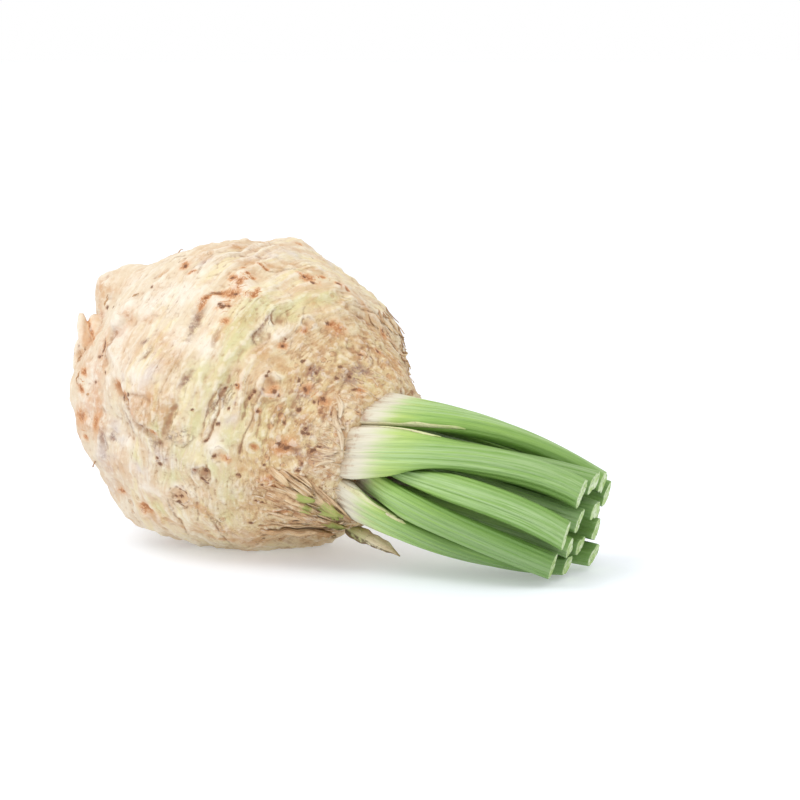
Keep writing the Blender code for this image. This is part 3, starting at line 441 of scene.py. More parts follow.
# Flaps of skin by the foot of the stalks: start and end as right and up, width and lift in mm.
CROWN_FLAPS = (
    ((36.5, 0), (37.8, -9), 1.5, 0.5),
    ((36.5, -6), (38.5, -14), 1.6, 0.7),
    ((37, -11), (38.5, -20), 1.8, 0.6),
    ((34, -10), (40, -12.5), 1.2, 0.6),
    ((30, -20), (37, -20.5), 1.4, 0.4),
    ((29, -26), (36, -24), 1.4, 0.5),
)
ROOTLETS = 26
# Papery margins of the leaf sheaths on the stalks: stalk, angle from its back, where they start and end as
# shares of the bundle's length, and their width in mm.
MARGINS = (
    (1, -84, 0.04, 0.44, 1.5),
    (2, 84, 0.1, 0.34, 0.9),
    (2, 86, 0.25, 0.37, 1.7),
    (5, 74, 0.06, 0.3, 1.6),
    (5, 66, 0.26, 0.34, 1.6),
    (4, -60, 0.16, 0.34, 0.7),
    (10, 85, 0.14, 0.6, 1.0),
    (10, -80, 0.14, 0.5, 1.0),
    (11, 80, 0.16, 0.55, 1.0),
    (11, -80, 0.16, 0.5, 1.0),
    (13, 80, 0.14, 0.5, 1.0),
    (14, -85, 0.14, 0.6, 1.0),
    (14, 80, 0.16, 0.5, 1.0),
)

# Fine relief of the skin: depth in mm and width of its wrinkles, and height in mm, fineness and place in the
# noise of its lumps.
WRINKLES = (("grain", 0.32, 0.08), ("fine_grain", 0.2, 0.12))
LUMPS = ((0.6, 13, (4, 4, 0)), (0.36, 26, (0, 7, 3)), (0.2, 52, (5, 5, 3)))
CROWN_LUMPS = ((0.7, 17, (8, 1, 5)), (0.3, 38, (3, 3, 3)))

# How far out from the middle of the root and of the bundle the ground is looked for, in mm.
OUTSIDE_ROOT = 160
OUTSIDE_BUNDLE = 80
# Shifts of the stripes from one strip to the next and from one margin to the next, in mm.
STRIPE_SHIFT = 60
MARGIN_SHIFT = 9

# Noises of the skin: scale, detail and roughness. Spots lie over places in m, streaks over the grain in mm.
SKIN_SPOTS = {
    "broad": (45, 3, 0.55),
    "medium": (150, 6, 0.65),
    "blotch": (95, 7, 0.68),
    "rough": (260, 8, 0.74),
    "fine": (650, 6, 0.7),
    "grit": (1400, 3, 0.6),
    "stain": (90, 7, 0.74),
    "small_stain": (160, 7, 0.74),
    "green_stain": (52, 5, 0.6),
    "breaks": (500, 3, 0.55),
    "wobble": (420, 4, 0.55),
    "speck": (1000, 4, 0.62),
}
SKIN_STREAKS = {
    "streak": ((0.40, 0.07, 0.07), 6, 0.65),
    "thin_streak": ((1.3, 0.17, 0.17), 6, 0.68),
    "band": ((0.2, 0.04, 0.04), 3, 0.5),
    "swirl": ((0.55, 0.13, 0.13), 8, 0.7),
    "flecks": ((1.1, 0.3, 0.3), 5, 0.62),
}
# Layers of colour from the ground up: a colour, then the shares whose product is how strongly it shows. A
# share is a number, a field, or a field that counts from a first to a second value.
SKIN_LAYERS = (
    ((223, 204, 148), ("polar", 94, 66), ("streak", 0.30, 0.58), 0.55),
    ((216, 184, 148), ("broad", 0.42, 0.66), 0.55),
    ((234, 220, 168), ("band", 0.50, 0.60), "banded", 0.55),
    ((208, 172, 128), ("band", 0.46, 0.38), "banded", 0.35),
    ((236, 226, 208), ("streak", 0.44, 0.64), 0.7),
    ((214, 178, 140), ("blotch", 0.50, 0.64), 0.5),
    ((198, 148, 98), "tan", ("rough", 0.34, 0.58), 0.8),
    ((208, 202, 146), "green", ("streak", 0.24, 0.58), 0.75),
    ((238, 228, 212), "cream", ("medium", 0.30, 0.54), 0.85),
    ((216, 204, 197), "grey", ("medium", 0.34, 0.56), 0.75),
    ((208, 164, 120), "hidden", ("stain", 0.50, 0.62), 0.6),
    ((176, 126, 86), "hidden", ("small_stain", 0.58, 0.66), 0.7),
    ((214, 212, 152), "hidden", ("green_stain", 0.56, 0.66), 0.6),
    ((190, 154, 118), ("thin_streak", 0.54, 0.68), ("blotch", 0.40, 0.58), 0.45),
    ((214, 190, 138), "crown", 0.6),
    ((184, 134, 86), "crown", ("mottled", 0.44, 0.62), 0.75),
    ((150, 106, 72), "crown", ("swirl", 0.53, 0.61), ("rough", 0.42, 0.56), 0.8),
    ((238, 222, 190), "crown", ("flecks", 0.55, 0.65), 0.6),
    ((206, 158, 114), "warty", ("wart", 0.34, 0.22), 0.6),
    ((128, 88, 64), "warty", "wart_rim", ("fine", 0.42, 0.54), 0.7),
    ((124, 82, 58), "warty", ("wart", 0.12, 0.06), ("fine", 0.44, 0.56), 0.7),
    ((158, 126, 112), "lilac", ("rough", 0.40, 0.56), 0.85),
    ((124, 96, 86), "lilac", ("fine", 0.52, 0.60), 0.7),
    ((226, 184, 142), "limb", ("medium", 0.40, 0.64), 0.5),
    ((206, 148, 100), "beside_root", ("rough", 0.36, 0.58), 0.8),
    # Painted shade: browner in the broad valleys and the deep hollows of the skin.
    ((196, 148, 106), ("valley", 0.25, 1.5), 0.5),
    ((160, 112, 78), "deep", 0.5),
    ((146, 108, 80), "wrinkle", "wrinkled", ("blotch", 0.36, 0.6), 0.45),
    ((146, 108, 80), "fine_wrinkle", "wrinkled", ("blotch", 0.36, 0.6), 0.3),
    ((208, 166, 124), ("scar_ring", 1.0, 0.4), "scar_tone", 0.5),
    ((134, 94, 68), "scar_rim", "broken", "scar_tone", 0.7),
    ((134, 90, 62), ("scar_ring", 0.4, 0.1), "scar_tone", "broken", 0.6),
    ((208, 166, 124), ("small_ring", 1.0, 0.4), "small_tone", 0.5),
    ((134, 94, 68), "small_rim", "broken", "small_tone", 0.7),
    ((134, 90, 62), ("small_ring", 0.4, 0.1), "small_tone", "broken", 0.6),
    ((222, 172, 126), "rust_stain", ("fine", 0.36, 0.52), 0.75),
    ((190, 128, 80), "rust_patch", ("speck", 0.36, 0.46), 0.85),
    ((146, 88, 48), "rust_core", ("speck", 0.48, 0.56), 0.8),
    ((128, 92, 66), "crack", "broken", 0.85),
    ((176, 134, 98), ("depth", 0.15, 0.9), ("fine", 0.32, 0.55), 0.6),
    ((178, 132, 96), "dark_patch", ("speck", 0.38, 0.50), 0.7),
    ((112, 74, 52), "dark_core", 0.85),
    ((130, 92, 66), ("grit", 0.62, 0.70), "freckled"),
    # Painted highlight: paler where the skin stands proud of its surroundings.
    ((250, 244, 230), ("hollow", -0.03, -0.2), 0.3),
)

STALK_STRIPES = {
    "stripes": ((1.3, 1.3, 1.0), 4, 0.55),
    "fine": ((4.5, 4.5, 1.6), 4, 0.6),
    "hair": ((11, 11, 2.2), 3, 0.6),
}
STALK_SPOTS = {"rough": (420, 6, 0.7), "pith": (380, 4, 0.55)}
STALK_LAYERS = (
    ((214, 208, 186), ("young", -0.1, 0.45)),
    ((166, 128, 102), ("rough", 0.50, 0.62), ("young", 0.5, 0.0), 0.7),
    ((176, 146, 116), ("fine", 0.54, 0.66), ("young", 1.0, 0.2), 0.6),
    ((184, 206, 112), ("young", 0.5, 1.9)),
    ((148, 186, 88), ("young", 1.3, 3.0)),
    ((122, 162, 80), ("out", 28, 70), 0.8),
    # Painted highlight along a stalk's back, and painted shade on its flanks.
    ((180, 207, 150), ("back", 0.4, 0.98), ("stripes", 0.32, 0.58), "leafy", 0.75),
    ((98, 140, 50), ("back", 0.5, -0.2), "leafy", 0.55),
    ((98, 140, 54), ("fine", 0.50, 0.34), "leafy", 0.45),
    ((192, 216, 156), ("hair", 0.54, 0.68), "leafy", 0.4),
    ((100, 144, 54), "furrow", "leafy", 0.4),
    ((78, 116, 50), "tone", ("out", 14, 44), ("stripes", 0.2, 0.55), 0.55),
    # Painted shade: dark green where a stalk lies against its neighbours, standing in for the shade in the
    # gaps.
    ((66, 104, 36), "close", "leafy", 0.48),
)

HUSK_SPOTS = {"patchy": (260, 7, 0.7), "fine": (800, 6, 0.7)}
HUSK_FIBRES = {"fibres": ((1.3, 0.14, 1), 7, 0.72)}
HUSK_LAYERS = (
    ((168, 124, 88), ("tone", 0.3, 1.0), ("patchy", 0.42, 0.6), 0.8),
    ((124, 86, 58), ("tone", 1.0, 2.0), 0.8),
    ((154, 170, 84), "fresh", 0.9),
    ((188, 196, 118), "fresh", ("fibres", 0.52, 0.64), 0.8),
    ((104, 118, 50), "fresh", ("fibres", 0.46, 0.34), 0.8),
    ((236, 224, 200), ("fibres", 0.53, 0.62), "dry", 0.75),
    ((158, 112, 78), ("fibres", 0.48, 0.38), "dry", "striped"),
    ((110, 76, 52), ("fibres", 0.40, 0.32), "dry", "striped"),
    # Painted shade on the upper half across a strip, the inside of its fold.
    ((86, 70, 44), ("across", 0.3, 0.6), ("patchy", 0.36, 0.5), "folded"),
    ((160, 116, 80), "border", ("patchy", 0.40, 0.55), "edged"),
    ((120, 86, 60), ("fine", 0.58, 0.68), 0.5),
)
# Papery strips: colours of their foot, their length and their torn tip, how dark their borders and their
# stripes are, and how dark the painted shade on their upper half is, 0 to 1.
HUSKS = {
    "torn_husk": (((208, 172, 130), (222, 194, 154), (196, 166, 120)), 0.6, 0.7, 0.0),
    "dry_husk": (((196, 202, 136), (236, 224, 186), (184, 160, 118)), 0.4, 0.25, 0.9),
    "papery_scale": (((204, 172, 134), (216, 194, 162), (220, 202, 174)), 0.4, 0.6, 0.0),
    "pale_margin": (((218, 208, 178), (214, 216, 166), (186, 204, 130)), 0.1, 0.25, 0.0),
    "rootlet": (((214, 176, 136), (206, 166, 126), (180, 140, 104)), 0.2, 0.3, 0.0),
}

# The floor, the lamps (name, place, size and watts) and the camera, in metres.
FLOOR_SIZE = 60
FLOOR_DROP = 0.0002
FLOOR_LOOK = {
    "Base Color": (0.75, 0.785, 0.85, 1),
    "Roughness": 0.8,
    "Specular IOR Level": 0.1,
    "Emission Color": (1, 1, 1, 1),
    "Emission Strength": 0.25,
}
LAMPS = (
    ("key", (-0.55, -0.45, 1.2), 0.6, 5.5),
    ("front", (-0.1, -1.5, 0.7), 0.9, 2),
)
LAMP_AIM = Vector((0.02, 0, 0.05))
CAMERA_AIM = Vector((0.0595, 0, 0.055))
CAMERA_DISTANCE = 0.85
LENS_MM = 100
SENSOR_MM = 36


def unit(vector):
    return vector / np.linalg.norm(vector, axis=-1, keepdims=True)


def square_to(vector, way):
    """The unit vector square to a way that lies nearest to a vector."""
    return unit(vector - way * (vector @ way))


def seen_way(place):
    """Unit vector for a place given as right, up and towards the viewer."""
    return unit(np.array(place, float) @ SEEN)


def seen_point(place):
    """A place given as right, up and towards the viewer, in mm from the frame's origin."""
    return CENTRE + np.array(place, float) @ SEEN


def blend(share):
    """Smooth step from 0 to 1."""
    share = np.clip(share, 0, 1)
    return share * share * (3 - 2 * share)


def mixed(pair, share):
    return pair[0] + (pair[1] - pair[0]) * share


def hump(value, width):
    """1 where the value is 0, falling off smoothly on both sides."""
    return np.exp(-((value / width) ** 2))


def noise_at(points, fine, place=(0, 0, 0)):
    """Smooth noise at each of an array of points."""
    return np.array([noise.noise(point) for point in (points * fine + np.array(place)).tolist()])


def lumps(ways, rows):
    """Sum of noises, each given by its height, fineness and place."""
    return sum(height * noise_at(ways, fine, place) for height, fine, place in rows)


def random_vector(draw, size=1):
    """A vector whose parts are normally spread."""
    return np.array([draw.gauss(0, size) for _ in range(3)])


def random_way(draw):
    return unit(random_vector(draw))


def angles_to(ways, way):
    """Angles in degrees between many unit vectors and one."""
    return np.degrees(np.arccos(np.clip(ways @ way, -1, 1)))


def hermite(ends, slopes, t):
    """A smooth curve between two ends with a slope at each, at share t."""
    return (
        (2 * t**3 - 3 * t**2 + 1) * ends[0]
        + (t**3 - 2 * t**2 + t) * slopes[0]
        + (3 * t**2 - 2 * t**3) * ends[1]
        + (t**3 - t**2) * slopes[1]
    )


def profile_at(polar):
    """Distance of the plain globe's skin in mm at angles from the axis, on a smooth curve."""
    x, y = np.array(PROFILE, float).T
    k = np.clip(np.searchsorted(x, polar, side="right") - 1, 0, len(x) - 2)
    before, after = np.maximum(k - 1, 0), np.minimum(k + 2, len(x) - 1)
    span = x[k + 1] - x[k]
    slope_in = (y[k + 1] - y[before]) / (x[k + 1] - x[before]) * span
    slope_out = (y[after] - y[k]) / (x[after] - x[k]) * span
    return hermite((y[k], y[k + 1]), (slope_in, slope_out), (polar - x[k]) / span)


def hidden_ways(count, seed):
    """Seeded directions on the far side and the underside, away from the crown."""
    draw = random.Random(seed)
    found = []
    while len(found) < count:
        way = random_way(draw)
        if way @ TOWARDS < 0.1 and way @ AXIS < 0.6 and way[2] > -0.75:
            found.append(way)
    return found


def all_mounds():
    draw = random.Random(SEED)
    found = [(seen_way(place), height, spread) for place, height, spread in MOUNDS]
    for way in hidden_ways(HIDDEN_MOUNDS, SEED + 1):
        height = draw.uniform(*HIDDEN_MOUND_HEIGHTS)
        found.append((way, height, draw.uniform(*HIDDEN_MOUND_SPREADS)))
    return found


def all_scars():
    """All scars as (way, radius in degrees)."""
    draw = random.Random(SEED)
    found = [(seen_way(place), math.degrees(radius / ROUND_RADIUS)) for place, radius in SCARS]
    for way in hidden_ways(HIDDEN_SCARS, SEED + 2):
        found.append((way, draw.uniform(*HIDDEN_SCAR_RADII)))
    return found


def small_scars():
    """Small round scars, most of them near the crown, as (way, radius in degrees)."""
    draw = random.Random(SEED + 11)
    found = []
    while len(found) < SMALL_SCARS:
        way = random_way(draw)
        polar = math.degrees(math.acos(way @ AXIS))
        if polar > 24 and draw.random() < (1.0 if polar < 58 else 0.22):
            found.append((way, draw.uniform(0.8, 1.9)))
    return found


MOUND_LIST = all_mounds()
SCAR_LIST = all_scars()
SMALL_SCAR_LIST = small_scars()


def fold_phase(ways, polar):
    """How many ring folds lie between the axis and each place."""
    wander = sum(strength * noise_at(ways, fine) for fine, strength in FOLD_WANDER)
    return polar / FOLD_SPACING_DEG + wander / math.pi


def skin_reach(ways):
    """Distance of the root's skin from its centre along unit vectors, in mm, as in the solids."""
    polar = angles_to(ways, AXIS)
    crest = (0.5 + 0.5 * np.cos(2 * math.pi * fold_phase(ways, polar))) ** 2
    here = blend(0.5 + 2.2 * noise_at(ways, 1.8, (5, 2, 8)))
    reach = profile_at(polar) + FOLD_HEIGHT * crest * here * blend((polar - FOLD_START_DEG) / 15)
    for place, height, spread in MOUND_LIST:
        reach += height * hump(angles_to(ways, place), spread)
    for place, radius in SCAR_LIST:
        t = angles_to(ways, place) / radius
        reach += SCAR_RIM * hump(t - 1, 0.35) - SCAR_PIT * hump(t, 0.6)
    for fine, strength, place in SKIN_NOISE:
        reach += strength * noise_at(ways, fine, place)
    return reach


def nearest(ways, marks):
    """For each direction, the distance to the nearest mark over its radius, and that mark's number."""
    best = np.full(len(ways), FAR)
    which = np.zeros(len(ways), int)
    for k, (place, radius) in enumerate(marks):
        t = angles_to(ways, place) / radius
        closer = t < best
        best[closer] = t[closer]
        which[closer] = k
    return best, which


def on_skin(places):
    """Unit vectors to places of the skin that are given as right and up in mm."""
    places = np.array(places, float)
    towards = np.full(len(places), 45.0)
    for _ in range(20):
        ways = unit(np.column_stack((places, towards)) @ SEEN)
        room = skin_reach(ways) ** 2 - (places**2).sum(1)
        towards = 0.5 * towards + 0.5 * np.sqrt(np.maximum(room, 0))
    return ways


def from_marks(ways, points, kind):
    """For each mark of a kind, every place's own place in the mark's half lengths and half widths.

    Marks on the left limb lie in the plane of the front view, the others on the globe."""
    rows = np.array(MARKS[kind], float)
    seen = (points - CENTRE) @ SEEN.T
    for way, (right, up, length, width, turn) in zip(on_skin(rows[:, :2]), rows):
        turn = math.radians(turn)
        if right < LIMB_LEFT_OF:
            x, y = seen[:, 0] - right, seen[:, 1] - up
            u = (x * math.cos(turn) + y * math.sin(turn)) / length
            v = (y * math.cos(turn) - x * math.sin(turn)) / width
            here = seen[:, 2] > 0
        else:
            along = square_to(SEEN[0] * math.cos(turn) + SEEN[1] * math.sin(turn), way)
            u = ways @ along * (ROUND_RADIUS / length)
            v = ways @ np.cross(way, along) * (ROUND_RADIUS / width)
            here = ways @ way > 0.6
        yield u, v, np.where(here, np.minimum(np.hypot(u, v), FAR), FAR)


def soft_marks(ways, points, kind, ragged):
    """How strongly the marks of a kind colour each place, 0 to 1."""
    clear = np.ones(len(ways))
    for _, _, t in from_marks(ways, points, kind):
        clear *= 1 - hump(t * ragged, 1.0)
    return 1 - clear


def sharp_marks(ways, points, kind):
    """Each place as seen from its nearest mark of a kind, and how far off that is, in half sizes."""
    own = np.full((len(ways), 3), FAR)
    for u, v, t in from_marks(ways, points, kind):
        closer = t < own[:, 2]
        own[closer] = np.column_stack((u, v, t))[closer]
    return own


def resampled(points, count):
    """A smooth curve (Catmull-Rom) through points, at evenly spaced shares."""
    points = np.array(points, float)
    ends = np.concatenate(([2 * points[0] - points[1]], points, [2 * points[-1] - points[-2]]))
    found = []
    for share in np.linspace(0, len(points) - 1, count):
        k = min(int(share), len(points) - 2)
        t = share - k
        a, b, c, d = ends[k : k + 4]
        found.append(
            0.5 * (2 * b + (c - a) * t + (2 * a - 5 * b + 4 * c - d) * t**2 + (3 * b - a - 3 * c + d) * t**3)
        )
    return np.array(found)


def line_values(ways):
    """Where each place lies across its nearest line, in widths, with that line's darkness, and the depth."""
    nearest_line = np.full((len(ways), 2), (FAR, 0.0))
    depth = np.zeros(len(ways))
    for route, deep, width, tone in LINES:
        along = unit(resampled(on_skin(route), 16 * len(route)))
        side = np.cross(np.gradient(along, axis=0), along)
        middle = unit(along.mean(0))
        near = np.flatnonzero(ways @ middle > (along @ middle).min() - 0.02)
        cosines = ways[near] @ along.T
        best = cosines.argmax(1)
        apart = ROUND_RADIUS * np.arccos(np.clip(cosines.max(1), -1, 1))
        sign = np.sign(np.einsum("ij,ij->i", ways[near] - along[best], side[best]))
        taper = np.sin(math.pi * (best + 1) / (len(along) + 1)) ** 0.4
        depth[near] = np.maximum(depth[near], deep * taper * hump(apart, max(width, 0.75)))
        closer = apart / width < np.abs(nearest_line[near, 0])
        found = np.column_stack((sign * apart / width, tone * taper * hump(apart / width, 3)))
        nearest_line[near[closer]] = found[closer]
    return nearest_line, depth


def loft_mesh(rings):
    """Points and faces of a closed solid through rings, with a fan over each end."""
    rings = np.array(rings)
    rows, count = rings.shape[:2]
    points = np.concatenate((rings.reshape(-1, 3), [rings[0].mean(0), rings[-1].mean(0)]))
    faces = []
    for row in range(rows - 1):
        for k in range(count):
            after = (k + 1) % count
            here, there = row * count, (row + 1) * count
            faces.append((here + k, here + after, there + after, there + k))
    last = (rows - 1) * count
    for k in range(count):
        after = (k + 1) % count
        faces.append((after, k, rows * count))
        faces.append((last + k, last + after, rows * count + 1))
    return points, faces


def by_row(values, count, ends=(0, 0)):
    """Values of a loft's rings for all its points, with those of its two ends."""
    return np.concatenate((np.repeat(values, count), ends))


def by_place(values, rows, ends=(0, 0)):
    """Values of the places round a ring for all points of a loft, with those of its two ends."""
    return np.concatenate((np.tile(values, rows), ends))


def there_and_back(x):
    return np.concatenate((x, x[::-1]))


def put_in_scene(name, data):
    made = bpy.data.objects.new(name, data)
    bpy.context.scene.collection.objects.link(made)
    return made


class Heap:
    """Collects points in mm, faces and named values of points, for one piece."""

    def __init__(self):
        self.points = []
        self.faces = []
        self.values = collections.defaultdict(list)
        self.count = 0

    def add(self, points, faces, **values):
        """Adds a closed solid. A value is one number, or a number or vector for each point."""
        self.points.append(points)
        self.faces += [tuple(index + self.count for index in face) for face in faces]
        for name, value in values.items():
            self.values[name].append(np.broadcast_to(value, (len(points),) + np.shape(value)[1:]))
        self.count += len(points)

    def mesh(self, name):
        made = bpy.data.meshes.new(name)
        made.from_pydata((np.concatenate(self.points) * MM).tolist(), [], self.faces)
        return made

    def piece(self, name, finish, slot, replaced=()):
        mesh = self.mesh(name)
        for key, value in self.values.items():
            set_values(mesh, key, np.concatenate(value))
        return dress(name, mesh, finish, replaced)


def set_values(mesh, name, values):
    """Stores a number or a vector for each point under a name that the material reads."""
    vector = values.ndim == 2
    kind, key = ("FLOAT_VECTOR", "vector") if vector else ("FLOAT", "value")
    layer = mesh.attributes.new(name, kind, "POINT")
    layer.data.foreach_set(key, values.astype(np.float32).ravel())


def dress(name, mesh, finish, replaced=()):
    """Makes a piece of a mesh, which rides on the root body."""
    shape = bmesh.new()
    shape.from_mesh(mesh)
    bmesh.ops.recalc_face_normals(shape, faces=shape.faces)
    shape.to_mesh(mesh)
    shape.free()
    mesh.materials.clear()
    mesh.materials.append(finish)
    mesh.shade_smooth()
    made = put_in_scene(name, mesh)
    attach(made, "root")
    if replaced:
        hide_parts(*replaced)
    return made


def tube_rings(points, radii, sides):
    """Rings of a tube along points."""
    along = unit(np.gradient(points, axis=0))
    side = unit(np.cross(along[0], (0.3, 0.5, 0.8)))
    turns = np.linspace(0, 2 * math.pi, sides, endpoint=False)
    rings = []
    for middle, way, radius in zip(points, along, radii):
        side = square_to(side, way)
        other = np.cross(way, side)
        rings.append(middle + radius * (np.outer(np.cos(turns), side) + np.outer(np.sin(turns), other)))
    return rings


def root_tube(heap, points, thickness, seed):
    """A tapering side root with a blunt tip."""
    draw = random.Random(seed)
    line = resampled(points, 26)
    share = np.linspace(0, 1, len(line))
    lumps = noise_at(line, 0.22, (draw.uniform(0, 50), 0, 0))
    radii = thickness / 2 * (1 - ROOT_TAPER * share**2) * (1.08 + 0.35 * lumps)
    radii[-3:] *= (0.97, 0.85, 0.5)
    heap.add(*loft_mesh(tube_rings(line, radii, 12)))


def end_root_points(draw):
    """Points of one trimmed side root near the root end, as in the solids."""
    side = square_to(random_vector(draw), AXIS)
    off = math.radians(draw.uniform(4, 52))
    way = unit(side * math.sin(off) - AXIS * math.cos(off))
    lean = square_to(random_vector(draw), way)
    length = draw.uniform(10, 22)
    height = draw.uniform(3, 8)
    foot = CENTRE + way * skin_reach(way[None])[0]
    points = []
    for k in range(5):
        t = k / 4
        rise = (height + 4) * math.sin(0.6 * math.pi * t) - 4
        points.append(foot + way * rise + lean * (length * t**1.4))
    return np.array(points)


def end_roots():
    """The routes and thicknesses of the side roots at the root end."""
    draw = random.Random(SEED + 3)
    found = []
    while len(found) < END_ROOTS:
        points = end_root_points(draw)
        if points[:, 2].min() >= 4 and (points[-1] - CENTRE) @ TOWARDS < -20:
            found.append((points, draw.uniform(3.4, 6)))
    return found


def side_root_list():
    """All side roots as (points, thickness)."""
    limb = [(np.array([seen_point(place) for place in places]), size) for places, size in LIMB_ROOTS]
    return limb + end_roots()


SIDE_ROOTS = side_root_list()


def root_surface():
    """The skin with its side roots melted into it, as an even mesh."""
    shape = bmesh.new()
    bmesh.ops.create_icosphere(shape, subdivisions=7, radius=1)
    ways = unit(np.array([vert.co for vert in shape.verts]))
    faces = [tuple(vert.index for vert in face.verts) for face in shape.faces]
    shape.free()
    heap = Heap()
    heap.add(CENTRE + ways * skin_reach(ways)[:, None], faces)
    for k, (places, thickness) in enumerate(SIDE_ROOTS):
        root_tube(heap, places, thickness, SEED + k)
    rough = put_in_scene("root", heap.mesh("root"))
    even = rough.modifiers.new("even", "REMESH")
    even.mode = "VOXEL"
    even.voxel_size = VOXEL * MM
    soft = rough.modifiers.new("soft", "SMOOTH")
    soft.iterations = 2
    graph = bpy.context.evaluated_depsgraph_get()
    made = bpy.data.meshes.new_from_object(rough.evaluated_get(graph))
    bpy.data.objects.remove(rough)
    return made


def read_vectors(mesh, name):
    found = np.empty(len(mesh.vertices) * 3)
    mesh.vertices.foreach_get(name, found)
    return found.reshape(-1, 3)


def read_points(mesh):
    return read_vectors(mesh, "co") / MM


def write_points(mesh, points):
    mesh.vertices.foreach_set("co", (points * MM).ravel())
    mesh.update()


def evened(mesh, values, rounds, shares=0.5):
    """Values of the points drawn towards the mean of their neighbours, by a share for each point."""
    edges = np.empty(len(mesh.edges) * 2, int)
    mesh.edges.foreach_get("vertices", edges)
    a, b = edges.reshape(-1, 2).T
    count = len(values)
    degree = np.bincount(np.concatenate((a, b)), minlength=count)[:, None]
    for _ in range(rounds):
        total = [np.bincount(a, column[b], count) + np.bincount(b, column[a], count) for column in values.T]
        values = values + shares * (np.column_stack(total) / degree - values)
    return values


def hollowness(mesh, points, normals, rounds):
    """How far each point lies below its surroundings, in mm."""
    return np.einsum("ij,ij->i", evened(mesh, points, rounds) - points, normals)


def pushed_polar(ways, polar):
    """Angles from the axis, pushed apart round the scars so that the grain flows round them."""
    pushed = polar.copy()
    for place, radius in SCAR_LIST:
        own = math.degrees(math.acos(place @ AXIS))
        pushed -= 0.85 * (polar - own) * hump(angles_to(ways, place), 1.9 * radius)
    return pushed


def flow_points(ways, polar):
    """Points whose first coordinate runs across the grain of the skin, and the others slowly along it."""
    round_way = unit(ways - np.outer(ways @ AXIS, AXIS))
    warp = noise_at(ways, 4, (6, 1, 3)) * 2.2
    across = pushed_polar(ways, polar) + warp
    along = [round_way @ axis * ROUND_RADIUS for axis in SEEN[1:]]
    return np.column_stack((across * MM_PER_DEGREE, *along))


def near_side_roots(points):
    """Distance in mm to the nearest side root's middle line."""
    best = np.full(len(points), np.inf)
    for places, _ in SIDE_ROOTS:
        for place in resampled(places, 14):
            best = np.minimum(best, np.linalg.norm(points - place, axis=1))
    return best


def skin_values(ways, points, polar):
    """The fields that shape and colour the skin, by name."""
    hidden = blend((0.1 - ways @ TOWARDS) / 0.3)
    flow = flow_points(ways, polar)
    scar, scar_number = nearest(ways, SCAR_LIST)
    small, small_number = nearest(ways, SMALL_SCAR_LIST)
    draw = random.Random(SEED + 5)
    tones = np.array(SCAR_TONES + tuple(draw.random() for _ in range(HIDDEN_SCARS)))
    small_tones = np.array([draw.random() ** 1.5 for _ in SMALL_SCAR_LIST])
    patchy = blend(0.3 + 2.4 * noise_at(ways, 3.1, (7, 3, 1)))
    middle = hump(polar - 62, 30)
    ragged = 1 + 0.45 * noise_at(ways, 14, (3, 6, 2)) + 0.35 * noise_at(ways, 32, (1, 2, 8))
    line, depth = line_values(ways)
    values = {
        "flow": flow,
        "grain": noise_at(flow * (0.42, 0.07, 0.07), 1),
        "fine_grain": noise_at(flow * (1.0, 0.13, 0.13) + (9, 2, 5), 1),
        "wrinkled": np.clip(patchy * (0.35 + 0.5 * middle + 0.5 * hidden), 0, 1) * blend((polar - 20) / 14),
        "scar": scar + 0.5 * noise_at(ways, 15, (2, 9, 4)),
        "scar_tone": tones[scar_number],
        "small": small + 0.4 * noise_at(ways, 30, (2, 9, 4)),
        "small_tone": small_tones[small_number],
        "line": np.column_stack((line, np.zeros(len(ways)))),
        "depth": depth * (1 + 0.6 * noise_at(ways, 15, (2, 2, 9))),
        "rust": sharp_marks(ways, points, "rust"),
        "dark": sharp_marks(ways, points, "dark"),
        "polar": polar,
        "hidden": hidden,
    }
    for kind in ("tan", "lilac", "grey", "cream", "green"):
        values[kind] = soft_marks(ways, points, kind, ragged)
    return values


def skin_relief(ways, values):
    """Height of the fine relief in mm: wrinkles, small scars, creases and lumps."""
    off_scar = blend((values["scar"] - 0.8) / 0.5)
    relief = 0.2 * values["wrinkled"] * values["grain"] - values["depth"]
    for name, depth, width in WRINKLES:
        relief -= depth * values["wrinkled"] * hump(values[name], width) * off_scar
    strength = 0.3 + 0.7 * values["small_tone"]
    relief += strength * (0.2 * hump(values["small"] - 1.0, 0.4) - 0.28 * hump(values["small"], 0.6))
    relief -= 0.35 * hump(values["dark"][:, 2], 0.8) + 0.3 * hump(values["rust"][:, 2], 0.8)
    relief += 0.2 * values["cream"] - 0.25 * values["lilac"] + lumps(ways, LUMPS)
    crown = blend((58 - values["polar"]) / 24)
    streaks = 0.3 * noise_at(values["flow"] * (0.8, 0.2, 0.2), 1, (4, 1, 1))
    return relief + crown * (lumps(ways, CROWN_LUMPS) + streaks)


